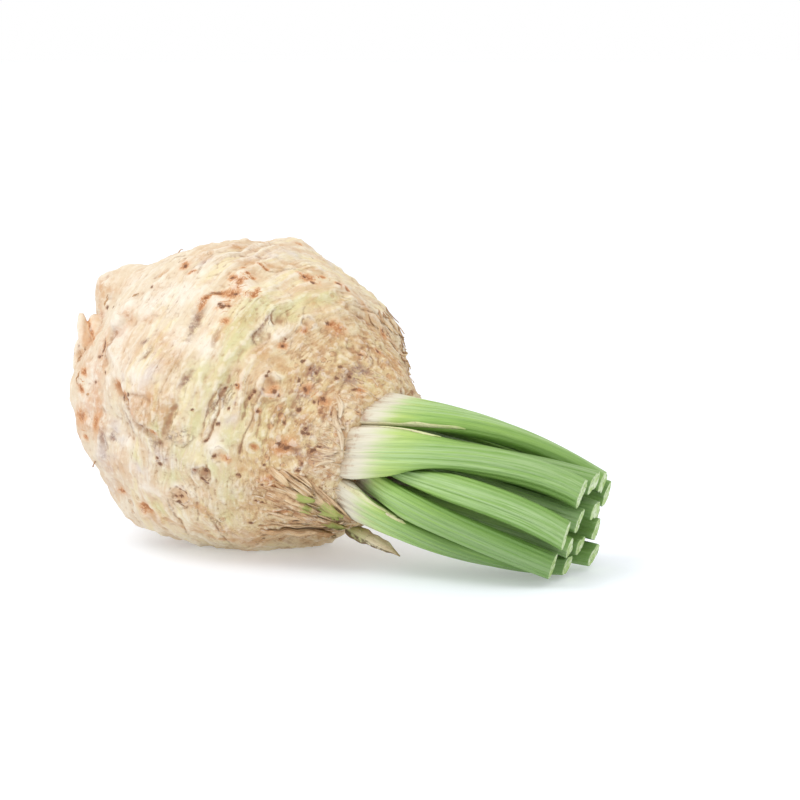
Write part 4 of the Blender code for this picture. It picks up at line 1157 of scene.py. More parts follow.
def celeriac_root(finish):
    """The root: its skin at full detail with the values that colour it."""
    mesh = root_surface()
    points = read_points(mesh)
    distance = np.linalg.norm(points - CENTRE, axis=1)
    ways = (points - CENTRE) / distance[:, None]
    reach = skin_reach(ways)
    free = blend((np.abs(distance - reach) - 0.35) / 1.6)
    points = CENTRE + ways * mixed((reach, distance), free)[:, None]
    points[:, 2] = np.maximum(points[:, 2], 0)
    seam = evened(mesh, np.minimum(4 * free * (1 - free), 1)[:, None], 6)
    points = evened(mesh, points, 14, np.minimum(1.2 * seam, 0.6))
    write_points(mesh, points)
    polar = angles_to(ways, AXIS)
    values = skin_values(ways, points, polar)
    relief = skin_relief(ways, values)
    points = points + read_vectors(mesh, "normal") * (relief * (1 - 0.6 * free))[:, None]
    points[:, 2] = np.maximum(points[:, 2], 0)
    write_points(mesh, points)
    normals = read_vectors(mesh, "normal")
    # How sunken each point is, for painted shade in hollows and valleys and a painted highlight on crests.
    values["hollow"] = hollowness(mesh, points, normals, 5)
    values["valley"] = hollowness(mesh, points, normals, 60)
    values["limb"] = free
    values["beside_root"] = hump(near_side_roots(points), 4.5) * (1 - free)
    for name, value in values.items():
        set_values(mesh, name, value)
    return dress("celeriac_root", mesh, finish, ("bulb",))


def bundle_frame(s):
    """Middle of the bundle at share s in mm, with its forward, up and lengthwise directions."""
    start = CENTRE + AXIS * BUNDLE_START
    slopes = (AXIS * BUNDLE_LENGTH, BUNDLE_WAY * BUNDLE_LENGTH)
    along = unit(
        (6 * s * s - 6 * s) * (start - BUNDLE_END)
        + (3 * s * s - 4 * s + 1) * slopes[0]
        + (3 * s * s - 2 * s) * slopes[1]
    )
    up = square_to(np.array((0, 0, 1.0)), along)
    return hermite((start, BUNDLE_END), slopes, s), np.cross(along, up), up, along


def stalk_place(stalk, s):
    """Where a stalk's middle is in the bundle at share s, as (forward, up) in mm, and its size there."""
    base, middle, end = (np.array(place, float) for place in (stalk.base, stalk.middle, stalk.end))
    place = (
        base * ((s - HALFWAY) * (s - 1) / HALFWAY)
        + middle * (s * (1 - s) / (HALFWAY * (1 - HALFWAY)))
        + end * (s * (s - HALFWAY) / (1 - HALFWAY))
    )
    return place, *mixed(np.array((stalk.base_size, stalk.end_size), float), blend(2 * s))


def neighbours(stalk, s):
    """Places and sizes of the other stalks at share s."""
    return [stalk_place(other, s) for other in STALKS if other is not stalk]


def section_radius(turns, width, depth):
    """Half size in mm of a stalk's crescent section at angles from its ribbed back."""
    c, s = np.abs(np.sin(turns)) / (width / 2), np.abs(np.cos(turns)) / (depth / 2)
    radius = (c**SECTION_POWER + s**SECTION_POWER) ** (-1 / SECTION_POWER)
    turns = (turns + math.pi) % (2 * math.pi) - math.pi
    ribs = RIB_HEIGHT * (np.cos(turns * 2 * (RIB_COUNT - 1)) - 1) / 2
    radius = radius + np.where(np.abs(turns) < math.pi / 2, ribs, 0)
    return radius * (1 - CHANNEL_DEPTH * hump(math.pi - np.abs(turns), CHANNEL_WIDTH))


def stalk_radius(stalk, s, turns):
    """Reach of a stalk's outline from its middle at share s, pressed flat against its neighbours."""
    middle, _, up, _ = bundle_frame(s)
    place, width, depth = stalk_place(stalk, s)
    facing = math.radians(mixed(stalk.faces, blend(s)))
    ways = np.column_stack((np.cos(facing + turns), np.sin(facing + turns)))
    total = section_radius(turns, width, depth) ** -PRESS_POWER
    for other_place, other_width, other_depth in neighbours(stalk, s):
        apart = other_place - place
        far = np.linalg.norm(apart)
        push = (width * depth - other_width * other_depth) / 8 / far
        wall = far / 2 + max(min(push, 0.25 * far), -0.25 * far) - STALK_GAP / 2
        total += (np.maximum(ways @ apart / far, 0.01) / wall) ** PRESS_POWER
    height = middle[2] + up[2] * place[1] - TABLE_GAP
    total += (np.maximum(-up[2] * ways[:, 1], 0.01) / height) ** PRESS_POWER
    return total ** (-1 / PRESS_POWER), ways, place


def closeness(stalk, s, turns):
    """How near a stalk's outline lies to its neighbours at share s, 0 to 1, for the painted shade in the
    gaps between stalks.
    """
    radius, ways, place = stalk_radius(stalk, s, turns)
    spots = place + ways * radius[:, None]
    nearest_wall = np.full(len(turns), FAR)
    for other_place, _, depth in neighbours(stalk, s):
        nearest_wall = np.minimum(nearest_wall, np.linalg.norm(spots - other_place, axis=1) - depth * 0.5)
    return hump(nearest_wall, 3.0)


def rib_depth(turns, shift):
    """Furrows between the ribs of a stalk's back, 0 on a rib and 1 in a furrow, uneven from rib to rib."""
    wave = np.abs(np.sin(turns * 7 + shift + 0.5 * np.sin(turns * 3 + shift)))
    return (1 - wave) ** 1.6


def stalk_points(stalk, s, turns, raised=0.0, furrow=0.0, shift=0.0):
    """Points of a stalk's outline at share s."""
    middle, forward, up, _ = bundle_frame(s)
    radius, ways, place = stalk_radius(stalk, s, turns)
    radius = radius + raised - furrow * rib_depth(turns, shift)
    spots = place + ways * np.reshape(radius, (-1, 1))
    return middle + np.outer(spots[:, 0], forward) + np.outer(spots[:, 1], up)


def cut_slanted(rings, along, way, middle, slant):
    """Rings of a stalk, pushed along its way near its end so that the cut slants."""
    found = []
    for ring, place in zip(rings, along):
        near = blend((place - along[-1] + SLANT_REACH) / SLANT_REACH)
        found.append(ring - np.outer((ring - middle) @ slant, way) * near)
    return found


def green_stalk(number, stalk, finish):
    """One leaf stalk with its ribs and its cut face."""
    half = math.pi / 2
    turns = np.linspace(-half, half, OUTER_POINTS)
    turns = np.concatenate((turns, np.linspace(half, 3 * half, INNER_POINTS + 2)[1:-1]))
    draw = random.Random(SEED + 40 + number)
    pale, tone = STALK_LOOKS.get(number, (8, draw.random()))
    shift = draw.uniform(0, 6)
    end = 1 + stalk.longer / BUNDLE_LENGTH
    shares = np.linspace(0, end, STALK_RINGS)
    rings = [stalk_points(stalk, s, turns, furrow=0.3, shift=shift) for s in shares]
    # How near each ring's outline lies to the other stalks, for painted shade in the gaps.
    close = [closeness(stalk, s, turns) for s in shares]
    way = bundle_frame(end)[3]
    rim = rings[-1]
    middle = rim.mean(0)
    rings += [middle + (rim - middle) * share + way * depth for share, depth in CUT_FACE]
    close += [close[-1]] * len(CUT_FACE)
    along = np.append(shares, [end] * len(CUT_FACE)) * BUNDLE_LENGTH
    cut = [0] * STALK_RINGS + [1 if share < 0.95 else 0.6 for share, _ in CUT_FACE]
    slant = TOWARDS * draw.uniform(0.12, 0.22) + random_way(draw) * 0.06
    points, faces = loft_mesh(cut_slanted(rings, along, way, middle, slant))
    from_centre = points - CENTRE
    distance = np.linalg.norm(from_centre, axis=1)
    rows, count = len(rings), len(turns)
    furrows = np.where(np.abs(turns) < half, rib_depth(turns, shift), 0)
    grain = (
        by_place(np.cos(turns) * 6, rows),
        by_place(np.sin(turns) * 6, rows),
        by_row(along, count, (0, along[-1])) * 0.05 + tone * 40,
    )
    heap = Heap()
    heap.add(
        points,
        faces,
        out=distance - skin_reach(from_centre / distance[:, None]),
        cut=by_row(cut, count, (0, 1)),
        furrow=by_place(furrows, rows),
        close=np.concatenate((*close, (0, 0))),
        tone=tone,
        rise=1 / pale,
        # back: cosine of the angle from the stalk's back, for its painted highlight and the painted shade on
        # its flanks.
        back=by_place(np.cos(turns), rows),
        grain=np.column_stack(grain),
    )
    return heap.piece(f"green_stalk_{number:02}", finish, "leaf_stalk", (f"leaf_stalk_{number:02}",))


class Ground:
    """Pieces on which thin pieces are laid."""

    def __init__(self, pieces):
        points, faces, count = [], [], 0
        for piece in pieces:
            places = read_points(piece.data)
            points.append(places)
            faces += [tuple(index + count for index in face.vertices) for face in piece.data.polygons]
            count += len(places)
        self.tree = BVHTree.FromPolygons(np.concatenate(points).tolist(), faces)

    def reach(self, middle, way, far):
        """How far the ground is from a middle along a way, looked for from a far place inwards."""
        spot, _, _, distance = self.tree.ray_cast(Vector(middle + way * far), Vector(-way), far)
        return 0 if spot is None else far - distance

    def over(self, way):
        """Where the ground is over a direction from the root's centre."""
        return CENTRE, way, self.reach(CENTRE, way, OUTSIDE_ROOT)

    def around(self, along, turn):
        """Where the ground is round the bundle, at a distance along it and an angle from forward."""
        middle, forward, up, way = bundle_frame(max(along, 0) / BUNDLE_LENGTH)
        middle = middle + way * min(along, 0)
        out = forward * math.cos(turn) + up * math.sin(turn)
        return middle, out, self.reach(middle, out, OUTSIDE_BUNDLE)


def eased(reach):
    """Reach of a grid of points, evened out so that a sheet over them has no steps."""
    for _ in range(3):
        even = reach.copy()
        even[1:-1] = (reach[:-2] + reach[1:-1] + reach[2:]) / 3
        even[:, 1:-1] = (even[:, :-2] + even[:, 1:-1] + even[:, 2:]) / 3
        reach = np.maximum(reach, even)
    return reach


def fibre_places(spots, x, tone):
    """Across and along a sheet in mm, for the stripes of its material."""
    steps = np.linalg.norm(np.diff(spots[:, len(x) // 2], axis=0), axis=1)
    along = np.concatenate(([0], np.cumsum(steps)))
    wide = np.linalg.norm(spots[:, -1] - spots[:, 0], axis=1)
    across = np.outer(wide, there_and_back(x) / 2)
    shift = np.full(len(along), STRIPE_SHIFT * tone)
    count = 2 * len(x)
    places = (np.append(across, (0, 0)), by_row(along, count, (0, along[-1])), by_row(shift, count))
    return np.column_stack(places)


def sheet_values(x, rows):
    """Values along and across a closed sheet for its material."""
    return {
        "along": by_row(np.linspace(0, 1, rows), 2 * len(x), (0, 1)),
        "across": by_place(there_and_back(x), rows),
    }


def laid_sheet(heap, finds, lifts, thickness, tone, green=0.0):
    """A thin closed sheet over rows of places that a Ground gave, lifted off it."""
    starts, ways, reach = (np.array([[find[k] for find in row] for row in finds]) for k in range(3))
    rows, columns = reach.shape
    reach = eased(reach) + lifts
    x = np.linspace(-1, 1, columns)
    top = starts + ways * (reach + thickness * (1 - 0.8 * x**4))[..., None]
    bottom = starts + ways * reach[..., None]
    points, faces = loft_mesh(np.concatenate((top, bottom[:, ::-1]), axis=1))
    heap.add(
        points,
        faces,
        tone=tone,
        green=by_row(np.broadcast_to(green, rows), 2 * columns),
        fibre=fibre_places(bottom, x, tone),
        **sheet_values(x, rows),
    )


def torn_base(number, row, ground, finish):
    """A torn leaf base that lies along the shoulder and lifts off it towards its tip."""
    start, end, lift, width, thickness, green_from, green_to = row
    first, last = seen_way(start), seen_way(end)
    side = unit(np.cross(last - first, first))
    draw = random.Random(SEED + 60 + number)
    x = np.linspace(-1, 1, BASE_COLUMNS)
    shares = np.linspace(0, 1, BASE_ROWS)
    ragged = [draw.uniform(0, 0.16) for _ in x]
    finds, lifts = [], []
    for t in shares:
        taper = (1 - 0.35 * t) * (1 + 0.10 * math.sin(8 * t + 2 * number))
        line = []
        for place, torn in zip(x, ragged):
            share = t * (1 - torn * t**3)
            way = first * (1 - share) + last * share + side * place * width * taper / 2 / ROUND_RADIUS
            line.append(ground.over(unit(way)))
        finds.append(line)
        folds = 0.45 * np.cos(7 * x + number + 2 * t) + 0.25 * np.cos(15 * x + 3 * number - 3 * t)
        lifts.append(lift * t**1.3 - 0.2 + 0.14 * width * x**2 * blend(3 * t) + folds * blend(4 * t))
    greens = blend((shares - green_from) / 0.35) * blend((green_to - shares) / 0.25)
    heap = Heap()
    laid_sheet(heap, finds, np.array(lifts), thickness * 0.45, draw.random(), greens)
    for _ in range(4):
        shift = side * draw.uniform(-0.6, 0.6) * width / ROUND_RADIUS
        from_share, to_share = draw.uniform(-0.15, 0.3), draw.uniform(0.6, 1.15)
        ends = [unit(first + (last - first) * share + shift) for share in (from_share, to_share)]
        shred(heap, ground, ends, draw.uniform(0.6, 1.5), lift * draw.uniform(0.2, 0.9), draw)
    return heap.piece(f"torn_base_{number}", finish, "old_leaf_base", (f"old_leaf_base_{number}",))


def shred(heap, ground, ends, width, lift, draw, tone=None, green=0.0):
    """A thin torn strip over the skin between two directions."""
    first, last = ends
    side = unit(np.cross(last - first, first))
    bend = draw.uniform(-0.02, 0.02)
    finds, lifts = [], []
    for t in np.linspace(0, 1, 12):
        size = width * (math.sin(math.pi * (0.15 + 0.8 * t)) ** 0.6) / 2 / ROUND_RADIUS
        middle = first * (1 - t) + last * t + side * bend * math.sin(math.pi * t)
        finds.append([ground.over(unit(middle + side * size * x)) for x in (-1, -0.4, 0.4, 1)])
        lifts.append([lift * t**1.5 - 0.15] * 4)
    tone = draw.random() if tone is None else tone
    greens = green * blend((np.linspace(0, 1, len(finds)) - 0.3) / 0.3)
    laid_sheet(heap, finds, np.array(lifts), 0.35, tone, greens)


def flaps(heap, ground, rows, draw):
    """Torn flaps of a table: start, end, width and lift of each, and where given its tone and green."""
    for start, end, width, lift, *looks in rows:
        shred(heap, ground, on_skin((start, end)), width, lift, draw, *looks)


def shoulder_shreds(ground, skin_ground, finish):
    """Torn brown and cream strips on the shoulder, which run together towards the lowest stalks."""
    draw = random.Random(SEED + 70)
    heap = Heap()
    for _ in range(SHOULDER_SHREDS):
        start = np.array([draw.uniform(*span) for span in SHRED_STARTS] + [0])
        start[2] = math.sqrt(max(ROUND_RADIUS**2 - start @ start, 400))
        end = start + (np.array(SHRED_TARGET) - start) * draw.uniform(0.35, 0.75)
        ends = [seen_way(start), seen_way(end)]
        shred(heap, ground, ends, draw.uniform(0.6, 2.0), draw.uniform(0, 1.5), draw)
    edge = resampled([(*place, 0) for place in SHOULDER_EDGE], 40)
    for _ in range(EDGE_SHREDS):
        k = draw.randrange(35)
        start = edge[k] + (0, 0, draw.gauss(3, 9))
        end = edge[min(k + draw.randint(2, 6), 39)]
        end = end + (draw.uniform(-1, 1), 0, start[2] + draw.uniform(-3, 3))
        width, lift, tone = draw.uniform(0.4, 1.6), draw.uniform(0.2, 1.5), draw.uniform(*EDGE_TONES)
        shred(heap, ground, [seen_way(start), seen_way(end)], width, lift, draw, tone)
    flaps(heap, skin_ground, SHOULDER_FLAPS, draw)
    return heap.piece("shoulder_shreds", finish, "old_leaf_base")


def crown_fibre(heap, ground, turn, span, width, lift, draw):
    """A dry fibre from the skin onto the foot of a stalk."""
    bend = draw.gauss(0, 0.08)
    x = np.linspace(-1, 1, 4)
    finds, lifts = [], []
    for t in np.linspace(0, 1, 11):
        half = width / 2 / FIBRE_RADIUS * (1 - 0.6 * t)
        finds.append([ground.around(mixed(span, t), turn + bend * t + half * place) for place in x])
        lifts.append(lift * t**2 - 0.05 - 0.12 * x**2)
    laid_sheet(heap, finds, np.array(lifts), 0.2, 0.4 * draw.random())


def crown_flaps(ground, skin_ground, finish):
    """Torn flaps of skin beside the foot of the stalks, and dry fibres round it."""
    draw = random.Random(SEED + 80)
    heap = Heap()
    flaps(heap, skin_ground, CROWN_FLAPS, draw)
    for _ in range(CROWN_FIBRES):
        turn = draw.uniform(0, 2 * math.pi)
        first = draw.uniform(0.5, 3.5)
        last = first + draw.uniform(2, 6)
        crown_fibre(heap, ground, turn, (first, last), draw.uniform(0.4, 1.1), draw.uniform(0, 0.4), draw)
    return heap.piece("crown_flaps", finish, "skin")


def margin_places(x, wide, along, shift):
    """Across and along a margin in mm, for the stripes of its material."""
    across = by_place(there_and_back(x) * wide / 2, len(along))
    along = by_row(along, 2 * len(x), (along[0], along[-1]))
    return np.column_stack((across, along, np.full(len(across), shift)))


def sheath_margins(finish):
    """Thin pale margins along the edges of the stalks' sheaths, which dry out and fray."""
    heap = Heap()
    x = np.linspace(-1, 1, MARGIN_COLUMNS)
    shares = np.linspace(0, 1, MARGIN_ROWS)
    for k, (number, turn, first, last, wide) in enumerate(MARGINS):
        draw = random.Random(SEED + 100 + k)
        stalk = STALKS[number - 1]
        rings = []
        shift = draw.uniform(0, 50)
        for t in shares:
            s = mixed((first, last), t)
            fray = noise.noise(Vector((t * 7, shift, 0)))
            width = wide * math.sin(math.pi * (0.06 + 0.92 * t)) ** 0.5 * (1 + 0.5 * fray)
            turns = math.radians(turn) + (x * width / 2 + 0.3 * fray) / 6
            lift = 0.02 + 0.1 * (1 + x) / 2 * (1 + fray)
            top = stalk_points(stalk, s, turns, raised=lift + 0.08 * (1 - x**2))
            bottom = stalk_points(stalk, s, turns, raised=lift - 0.2)
            rings.append(np.concatenate((top, bottom[::-1])))
        points, faces = loft_mesh(rings)
        along = mixed((first, last), shares) * BUNDLE_LENGTH
        heap.add(
            points,
            faces,
            tone=0.3 * draw.random(),
            fibre=margin_places(x, wide, along, MARGIN_SHIFT * k),
            **sheet_values(x, MARGIN_ROWS),
        )
    return heap.piece("sheath_margins", finish, "leaf_stalk")


def strip_ring(middle, side, out, width):
    """Outline of the dried leaf, curled round its length."""
    turns = np.linspace(0, 2 * math.pi, 24, endpoint=False)
    across = np.outer(np.cos(turns) * width / 2, side)
    rise = np.sin(turns) * WITHERED_THICKNESS / 2 - WITHERED_CURL * width * np.cos(turns) ** 2
    return middle + across + np.outer(rise, out)


def strip_values(rings, tone):
    """Values along and across a strip for its material."""
    rows, count = len(rings), len(rings[0])
    turns = np.linspace(0, 2 * math.pi, count, endpoint=False)
    fibre = (
        by_place(np.cos(turns) * 2, rows),
        by_row(np.linspace(0, 20, rows), count),
        by_row(np.full(rows, STRIPE_SHIFT * tone), count),
    )
    return {
        "along": by_row(np.linspace(0, 1, rows), count, (0, 1)),
        "across": by_place(np.cos(turns), rows),
        "tone": tone,
        "fibre": np.column_stack(fibre),
    }


def dry_leaf(finish):
    """The dried leaf base that hangs from under the crown, folded along its length."""
    line = resampled([seen_point(place) for place in WITHERED_LEAF], 44)
    along = unit(np.gradient(line, axis=0))
    rings = []
    for k, (middle, way) in enumerate(zip(line, along)):
        t = k / (len(line) - 1)
        side = unit(np.cross(way, TOWARDS))
        turn = math.radians(WITHERED_TWIST * t - 20)
        side = side * math.cos(turn) + np.cross(way, side) * math.sin(turn)
        ripple = 1 + 0.12 * math.sin(11 * t) + 0.06 * math.sin(29 * t)
        width = WITHERED_WIDTH * math.sin(math.pi * mixed((0.3, 0.985), t)) * ripple
        rings.append(strip_ring(middle, side, np.cross(side, way), width))
    heap = Heap()
    points, faces = loft_mesh(rings)
    heap.add(points, faces, **strip_values(rings, 0.5))
    return heap.piece("dry_leaf", finish, "withered_leaf", ("withered_leaf",))


def rootlets(finish):
    """Thin rootlets on the root end and the left limb."""
    draw = random.Random(SEED + 90)
    heap = Heap()
    made = 0
    while made < ROOTLETS:
        way = random_way(draw)
        if way @ AXIS > -0.35:
            continue
        foot = CENTRE + way * (skin_reach(way[None])[0] - 0.5)
        lean = square_to(random_way(draw), way)
        length = draw.uniform(3, 8)
        points = [foot]
        for k in range(1, 5):
            rise = way * (length * 0.12 * k * (1 - 0.15 * k))
            points.append(foot + rise + lean * length * 0.22 * k + random_vector(draw, 0.35))
        line = resampled(points, 14)
        if line[:, 2].min() < 1:
            continue
        radii = np.linspace(draw.uniform(0.3, 0.6), 0.12, len(line))
        rings = tube_rings(line, radii, 7)
        points, faces = loft_mesh(rings)
        heap.add(points, faces, **strip_values(rings, draw.random()))
        made += 1
    return heap.piece("rootlets", finish, "skin")


def srgb(red, green, blue):
    """Linear colour of usual 0 to 255 values."""
    values = [value / 255 for value in (red, green, blue)]
    linear = [value / 12.92 if value <= 0.04045 else ((value + 0.055) / 1.055) ** 2.4 for value in values]
    return (*linear, 1)


class Nodes:
    """Short ways to make a material's nodes. Its colour is built up in layers.

    Where a value is asked for, a name stands for a field: one that the material made, or else one that the
    points carry."""

    def __init__(self, name, colour=(255, 255, 255)):
        self.material = bpy.data.materials.new(name)
        self.material.use_nodes = True
        self.tree = self.material.node_tree
        self.shader = self.tree.nodes["Principled BSDF"]
        self.colour = srgb(*colour)
        self.fields = {}

    def field(self, name):
        if name not in self.fields:
            self.fields[name] = self.add("ShaderNodeAttribute", {}, "Fac", attribute_name=name)
        return self.fields[name]

    def put(self, socket, value):
        if isinstance(value, str):
            value = self.field(value)
        if isinstance(value, bpy.types.NodeSocket):
            self.tree.links.new(value, socket)
        else:
            socket.default_value = value

    def add(self, kind, inputs, output=0, **settings):
        node = self.tree.nodes.new(kind)
        for key, value in settings.items():
            setattr(node, key, value)
        for key, value in inputs.items():
            self.put(node.inputs[key], value)
        return node.outputs[output]

    def vector(self, name):
        return self.add("ShaderNodeAttribute", {}, "Vector", attribute_name=name)

    def place(self):
        return self.add("ShaderNodeTexCoord", {}, "Object")

    def math(self, operation, a, b=0.0):
        return self.add("ShaderNodeMath", {0: a, 1: b}, operation=operation)

    def times(self, *factors):
        total = factors[0]
        for factor in factors[1:]:
            total = self.math("MULTIPLY", total, factor)
        return total

    def plus(self, *terms):
        total = terms[0]
        for term in terms[1:]:
            total = self.math("ADD", total, term)
        return total

    def centred(self, value, strength):
        """A noise value moved to both sides of 0."""
        return self.times(self.math("SUBTRACT", value, 0.5), strength)

    def scaled(self, vector, sizes):
        return self.add("ShaderNodeVectorMath", {0: vector, 1: sizes}, operation="MULTIPLY")

    def noise(self, vector, scale, detail, roughness):
        inputs = {"Vector": vector, "Scale": scale, "Detail": detail, "Roughness": roughness}
        return self.add("ShaderNodeTexNoise", inputs, "Fac")

    def noises(self, vector, rows):
        """Makes a field of each noise of a table, whose scale is one number or one for each axis."""
        for name, (scale, detail, roughness) in rows.items():
            if isinstance(scale, tuple):
                self.fields[name] = self.noise(self.scaled(vector, scale), 1.0, detail, roughness)
            else:
                self.fields[name] = self.noise(vector, scale, detail, roughness)

    def cells(self, vector, scale):
        """Distance to the middle of the nearest cell, and a random number of that cell."""
        distance = self.add("ShaderNodeTexVoronoi", {"Vector": vector, "Scale": scale}, "Distance")
        return distance, self.add("ShaderNodeSeparateColor", {0: distance.node.outputs["Color"]}, 0)

    def warped(self, vector, scale, amount):
        """Places moved about by noise."""
        colour = self.add("ShaderNodeTexNoise", {"Vector": vector, "Scale": scale, "Detail": 3.0}, "Color")
        moved = self.add("ShaderNodeVectorMath", {0: colour, 1: (0.5, 0.5, 0.5)}, operation="SUBTRACT")
        moved = self.scaled(moved, (amount, amount, amount))
        return self.add("ShaderNodeVectorMath", {0: vector, 1: moved}, operation="ADD")

    def part(self, vector, axis):
        return self.add("ShaderNodeSeparateXYZ", {0: vector}, axis)

    def mark(self, name, ragged, outer, inner):
        """1 inside the sharp marks of a kind, 0 outside, with a ragged edge."""
        own = self.vector(name)
        off = self.add("ShaderNodeVectorMath", {0: self.scaled(own, (1, 1, 0))}, "Value", operation="LENGTH")
        inside = self.between(self.plus(off, ragged), outer, inner)
        return self.times(inside, self.between(self.part(own, "Z"), 2.4, 1.8))

    def between(self, value, low, high):
        """0 at low, 1 at high, smooth between."""
        inputs = {"Value": value, "From Min": low, "From Max": high}
        return self.add("ShaderNodeMapRange", inputs, interpolation_type="SMOOTHSTEP")

    def line(self, value, width):
        """1 where the value is 0, 0 beyond the width on both sides."""
        return self.between(self.math("ABSOLUTE", value), width, 0)

    def mix(self, share, a, b):
        inputs = {0: share, 6: a, 7: b}
        return self.add("ShaderNodeMix", inputs, 2, data_type="RGBA", clamp_factor=True)

    def layers(self, rows):
        """Lays colours over what is there, each by the product of its shares."""
        for colour, *shares in rows:
            shares = [self.between(*share) if isinstance(share, tuple) else share for share in shares]
            self.colour = self.mix(self.times(*shares), self.colour, srgb(*colour))

    def bump(self, height, distance, strength):
        return self.add("ShaderNodeBump", {"Height": height, "Distance": distance, "Strength": strength})

    def finish(self, roughness, normal, specular):
        looks = {
            "Base Color": self.colour,
            "Roughness": roughness,
            "Normal": normal,
            "Specular IOR Level": specular,
        }
        for name, value in looks.items():
            self.put(self.shader.inputs[name], value)
        return self.material


def crown_fields(n, place):
    """Where the crown, its warts and the bands of colour are."""
    n.fields["crown"] = n.between("polar", 57, 33)
    n.fields["banded"] = n.between("polar", 110, 84)
    n.fields["mottled"] = n.plus("medium", n.centred("swirl", 0.5))
    wart, choice = n.cells(n.warped(place, 300, 0.0026), 215)
    n.fields["wart"] = wart
    n.fields["wart_rim"] = n.line(n.plus(wart, -0.27), 0.07)
    n.fields["warty"] = n.times(n.between(choice, 0.52, 0.60), n.plus("crown", n.times("hidden", 0.4)))
    n.fields["freckled"] = n.plus(n.times("crown", 0.35), 0.12)


def crease_fields(n):
    """Painted shade in the hollows, wrinkles along the grain, and the cracks of the table of lines."""
    # deep: painted shade in the hollows, kept off the left limb.
    n.fields["deep"] = n.times(n.between("hollow", 0.04, 0.26), n.between("limb", 0.9, 0.1))
    ragged = n.centred("fine", 0.14)
    n.fields["wrinkle"] = n.line(n.plus("grain", ragged), 0.05)
    n.fields["fine_wrinkle"] = n.line(n.plus("fine_grain", ragged), 0.08)
    sides = n.vector("line")
    crack = n.line(n.plus(n.part(sides, "X"), n.centred("fine", 1.6), n.centred("medium", 1.2)), 0.9)
    n.fields["crack"] = n.times(crack, n.part(sides, "Y"))
    n.fields["broken"] = n.between("breaks", 0.38, 0.58)


def mark_fields(n):
    """Rings and rims of the round scars, and the rust-coloured and dark marks."""
    wobble = n.centred("wobble", 0.7)
    for kind in ("scar", "small"):
        ring = n.plus(kind, wobble)
        n.fields[kind + "_ring"] = ring
        n.fields[kind + "_rim"] = n.line(n.plus(ring, -0.8), 0.16)
    uneven = n.plus(n.centred("rough", 3.0), n.centred("speck", 2.6))
    n.fields["rust_stain"] = n.mark("rust", n.centred("rough", 3.4), 2.0, 0.5)
    n.fields["rust_patch"] = n.mark("rust", uneven, 1.25, 0.55)
    n.fields["rust_core"] = n.mark("rust", uneven, 0.8, 0.3)
    n.fields["dark_patch"] = n.mark("dark", uneven, 1.5, 0.7)
    n.fields["dark_core"] = n.mark("dark", uneven, 0.9, 0.4)


def skin_material():
    """Root skin: cream and tan, streaked round the axis, with brown marks, warts, lines and speckles,
    painted shade in its hollows and valleys and a painted highlight where it stands proud.
    """
    n = Nodes("root_skin", (224, 207, 180))
    place = n.place()
    n.noises(place, SKIN_SPOTS)
    n.noises(n.vector("flow"), SKIN_STREAKS)
    crown_fields(n, place)
    crease_fields(n)
    mark_fields(n)
    n.layers(SKIN_LAYERS)
    height = n.plus(n.times("thin_streak", 0.5), n.times("fine", 0.6), "rough", n.times("grit", 0.2))
    height = n.plus(height, n.times("crack", -0.6))
    roughness = n.plus(0.5, n.times("medium", 0.25))
    return n.finish(roughness, n.bump(height, 0.0009, 0.6), 0.35)


def stalk_material():
    """Leaf stalk: white at its foot, yellow-green, then green, with a painted highlight on its back, painted
    shade on its flanks and in the gaps between stalks, and fine stripes.
    """
    n = Nodes("fresh_stalk", (196, 178, 152))
    place = n.place()
    n.noises(n.vector("grain"), STALK_STRIPES)
    n.noises(place, STALK_SPOTS)
    n.fields["young"] = n.plus(n.times("out", "rise"), n.centred("stripes", 1.3), n.centred("fine", 0.6))
    n.fields["leafy"] = n.between("young", 0.7, 1.8)
    n.layers(STALK_LAYERS)
    face = n.mix(n.between("pith", 0.4, 0.65), srgb(168, 196, 112), srgb(212, 224, 184))
    pore, _ = n.cells(place, 650)
    face = n.mix(n.between(pore, 0.32, 0.16), face, srgb(112, 150, 60))
    n.colour = n.mix("cut", n.colour, face)
    height = n.plus("stripes", n.times("fine", 0.7), n.times("hair", 0.3))
    roughness = n.plus(0.32, n.times("stripes", 0.2))
    return n.finish(roughness, n.bump(height, 0.0005, 0.5), 0.5)


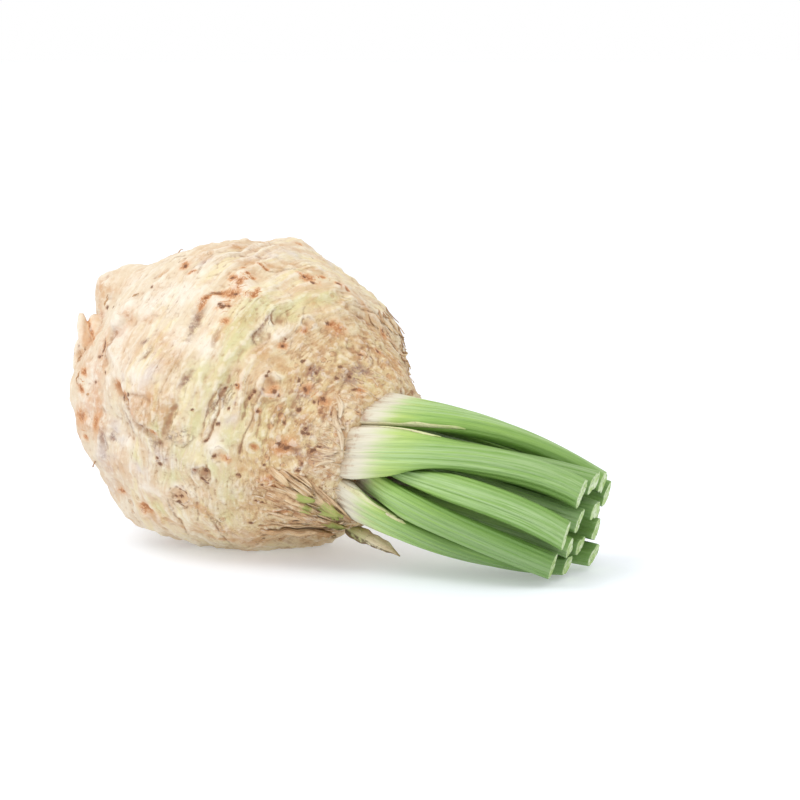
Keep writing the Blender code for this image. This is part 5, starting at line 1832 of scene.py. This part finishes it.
def husk_material(name):
    """Dry papery strip: its foot, length and torn tip in their own colours, green where it is fresh."""
    (foot, middle, tip), edges, stripes, fold_shade = HUSKS[name]
    n = Nodes(name, foot)
    n.noises(n.place(), HUSK_SPOTS)
    n.noises(n.vector("fibre"), HUSK_FIBRES)
    # folded: how strongly painted shade darkens a strip's upper half.
    n.fields.update(edged=edges, striped=stripes, folded=fold_shade)
    n.fields["uneven"] = n.plus("along", n.centred("patchy", 0.6))
    fresh = n.plus("green", n.centred("fibres", 2.2), n.centred("patchy", 0.8))
    n.fields["fresh"] = n.between(fresh, 0.5, 1.0)
    n.fields["dry"] = n.between("fresh", 0.6, 0.2)
    n.fields["border"] = n.between(n.math("ABSOLUTE", "across"), 0.6, 1.0)
    n.layers(((middle, ("uneven", 0.1, 0.45)), (tip, ("uneven", 0.65, 1.0)), *HUSK_LAYERS))
    return n.finish(0.7, n.bump(n.plus("fine", "patchy", "fibres"), 0.0006, 0.6), 0.3)


def turned(thing, way):
    """Turns a lamp or a camera to look along a way."""
    thing.rotation_euler = way.to_track_quat("-Z", "Y").to_euler()


def floor_and_lights():
    """A pale floor, soft light from all round and a large soft lamp above on the left."""
    bpy.ops.mesh.primitive_plane_add(size=FLOOR_SIZE, location=(0, 0, -FLOOR_DROP))
    floor = bpy.context.object
    floor.name = "floor"
    n = Nodes("pale_floor")
    for name, value in FLOOR_LOOK.items():
        n.put(n.shader.inputs[name], value)
    floor.data.materials.append(n.material)
    world = bpy.data.worlds.new("studio")
    bpy.context.scene.world = world
    world.use_nodes = True
    sky = world.node_tree.nodes["Background"].inputs
    sky["Color"].default_value = (1, 1, 1, 1)
    sky["Strength"].default_value = 1.0
    for name, place, size, watts in LAMPS:
        light = bpy.data.lights.new(name, "AREA")
        light.size = size
        light.energy = watts
        lamp = put_in_scene(name, light)
        lamp.location = place
        turned(lamp, LAMP_AIM - Vector(place))
    bpy.context.scene.view_settings.view_transform = "Standard"


def camera():
    """The photograph's view: 9 degrees down, from 0.85 m."""
    back = Vector((0, -math.cos(VIEW_TILT), math.sin(VIEW_TILT)))
    lens = bpy.data.cameras.new("camera")
    lens.lens = LENS_MM
    lens.sensor_width = SENSOR_MM
    made = put_in_scene("camera", lens)
    made.location = CAMERA_AIM + back * CAMERA_DISTANCE
    turned(made, -back)
    bpy.context.scene.camera = made


def build():
    """Makes all pieces."""
    fresh = stalk_material()
    pieces = [celeriac_root(skin_material())]
    for number, stalk in enumerate(STALKS, 1):
        pieces.append(green_stalk(number, stalk, fresh))
    ground, skin_ground = Ground(pieces), Ground(pieces[:1])
    torn = husk_material("torn_husk")
    for number, row in enumerate(OLD_BASES, 1):
        torn_base(number, row, ground, torn)
    shoulder_shreds(ground, skin_ground, torn)
    dry_leaf(husk_material("dry_husk"))
    crown_flaps(ground, skin_ground, husk_material("papery_scale"))
    sheath_margins(husk_material("pale_margin"))
    rootlets(husk_material("rootlet"))


floor_and_lights()
camera()
build()
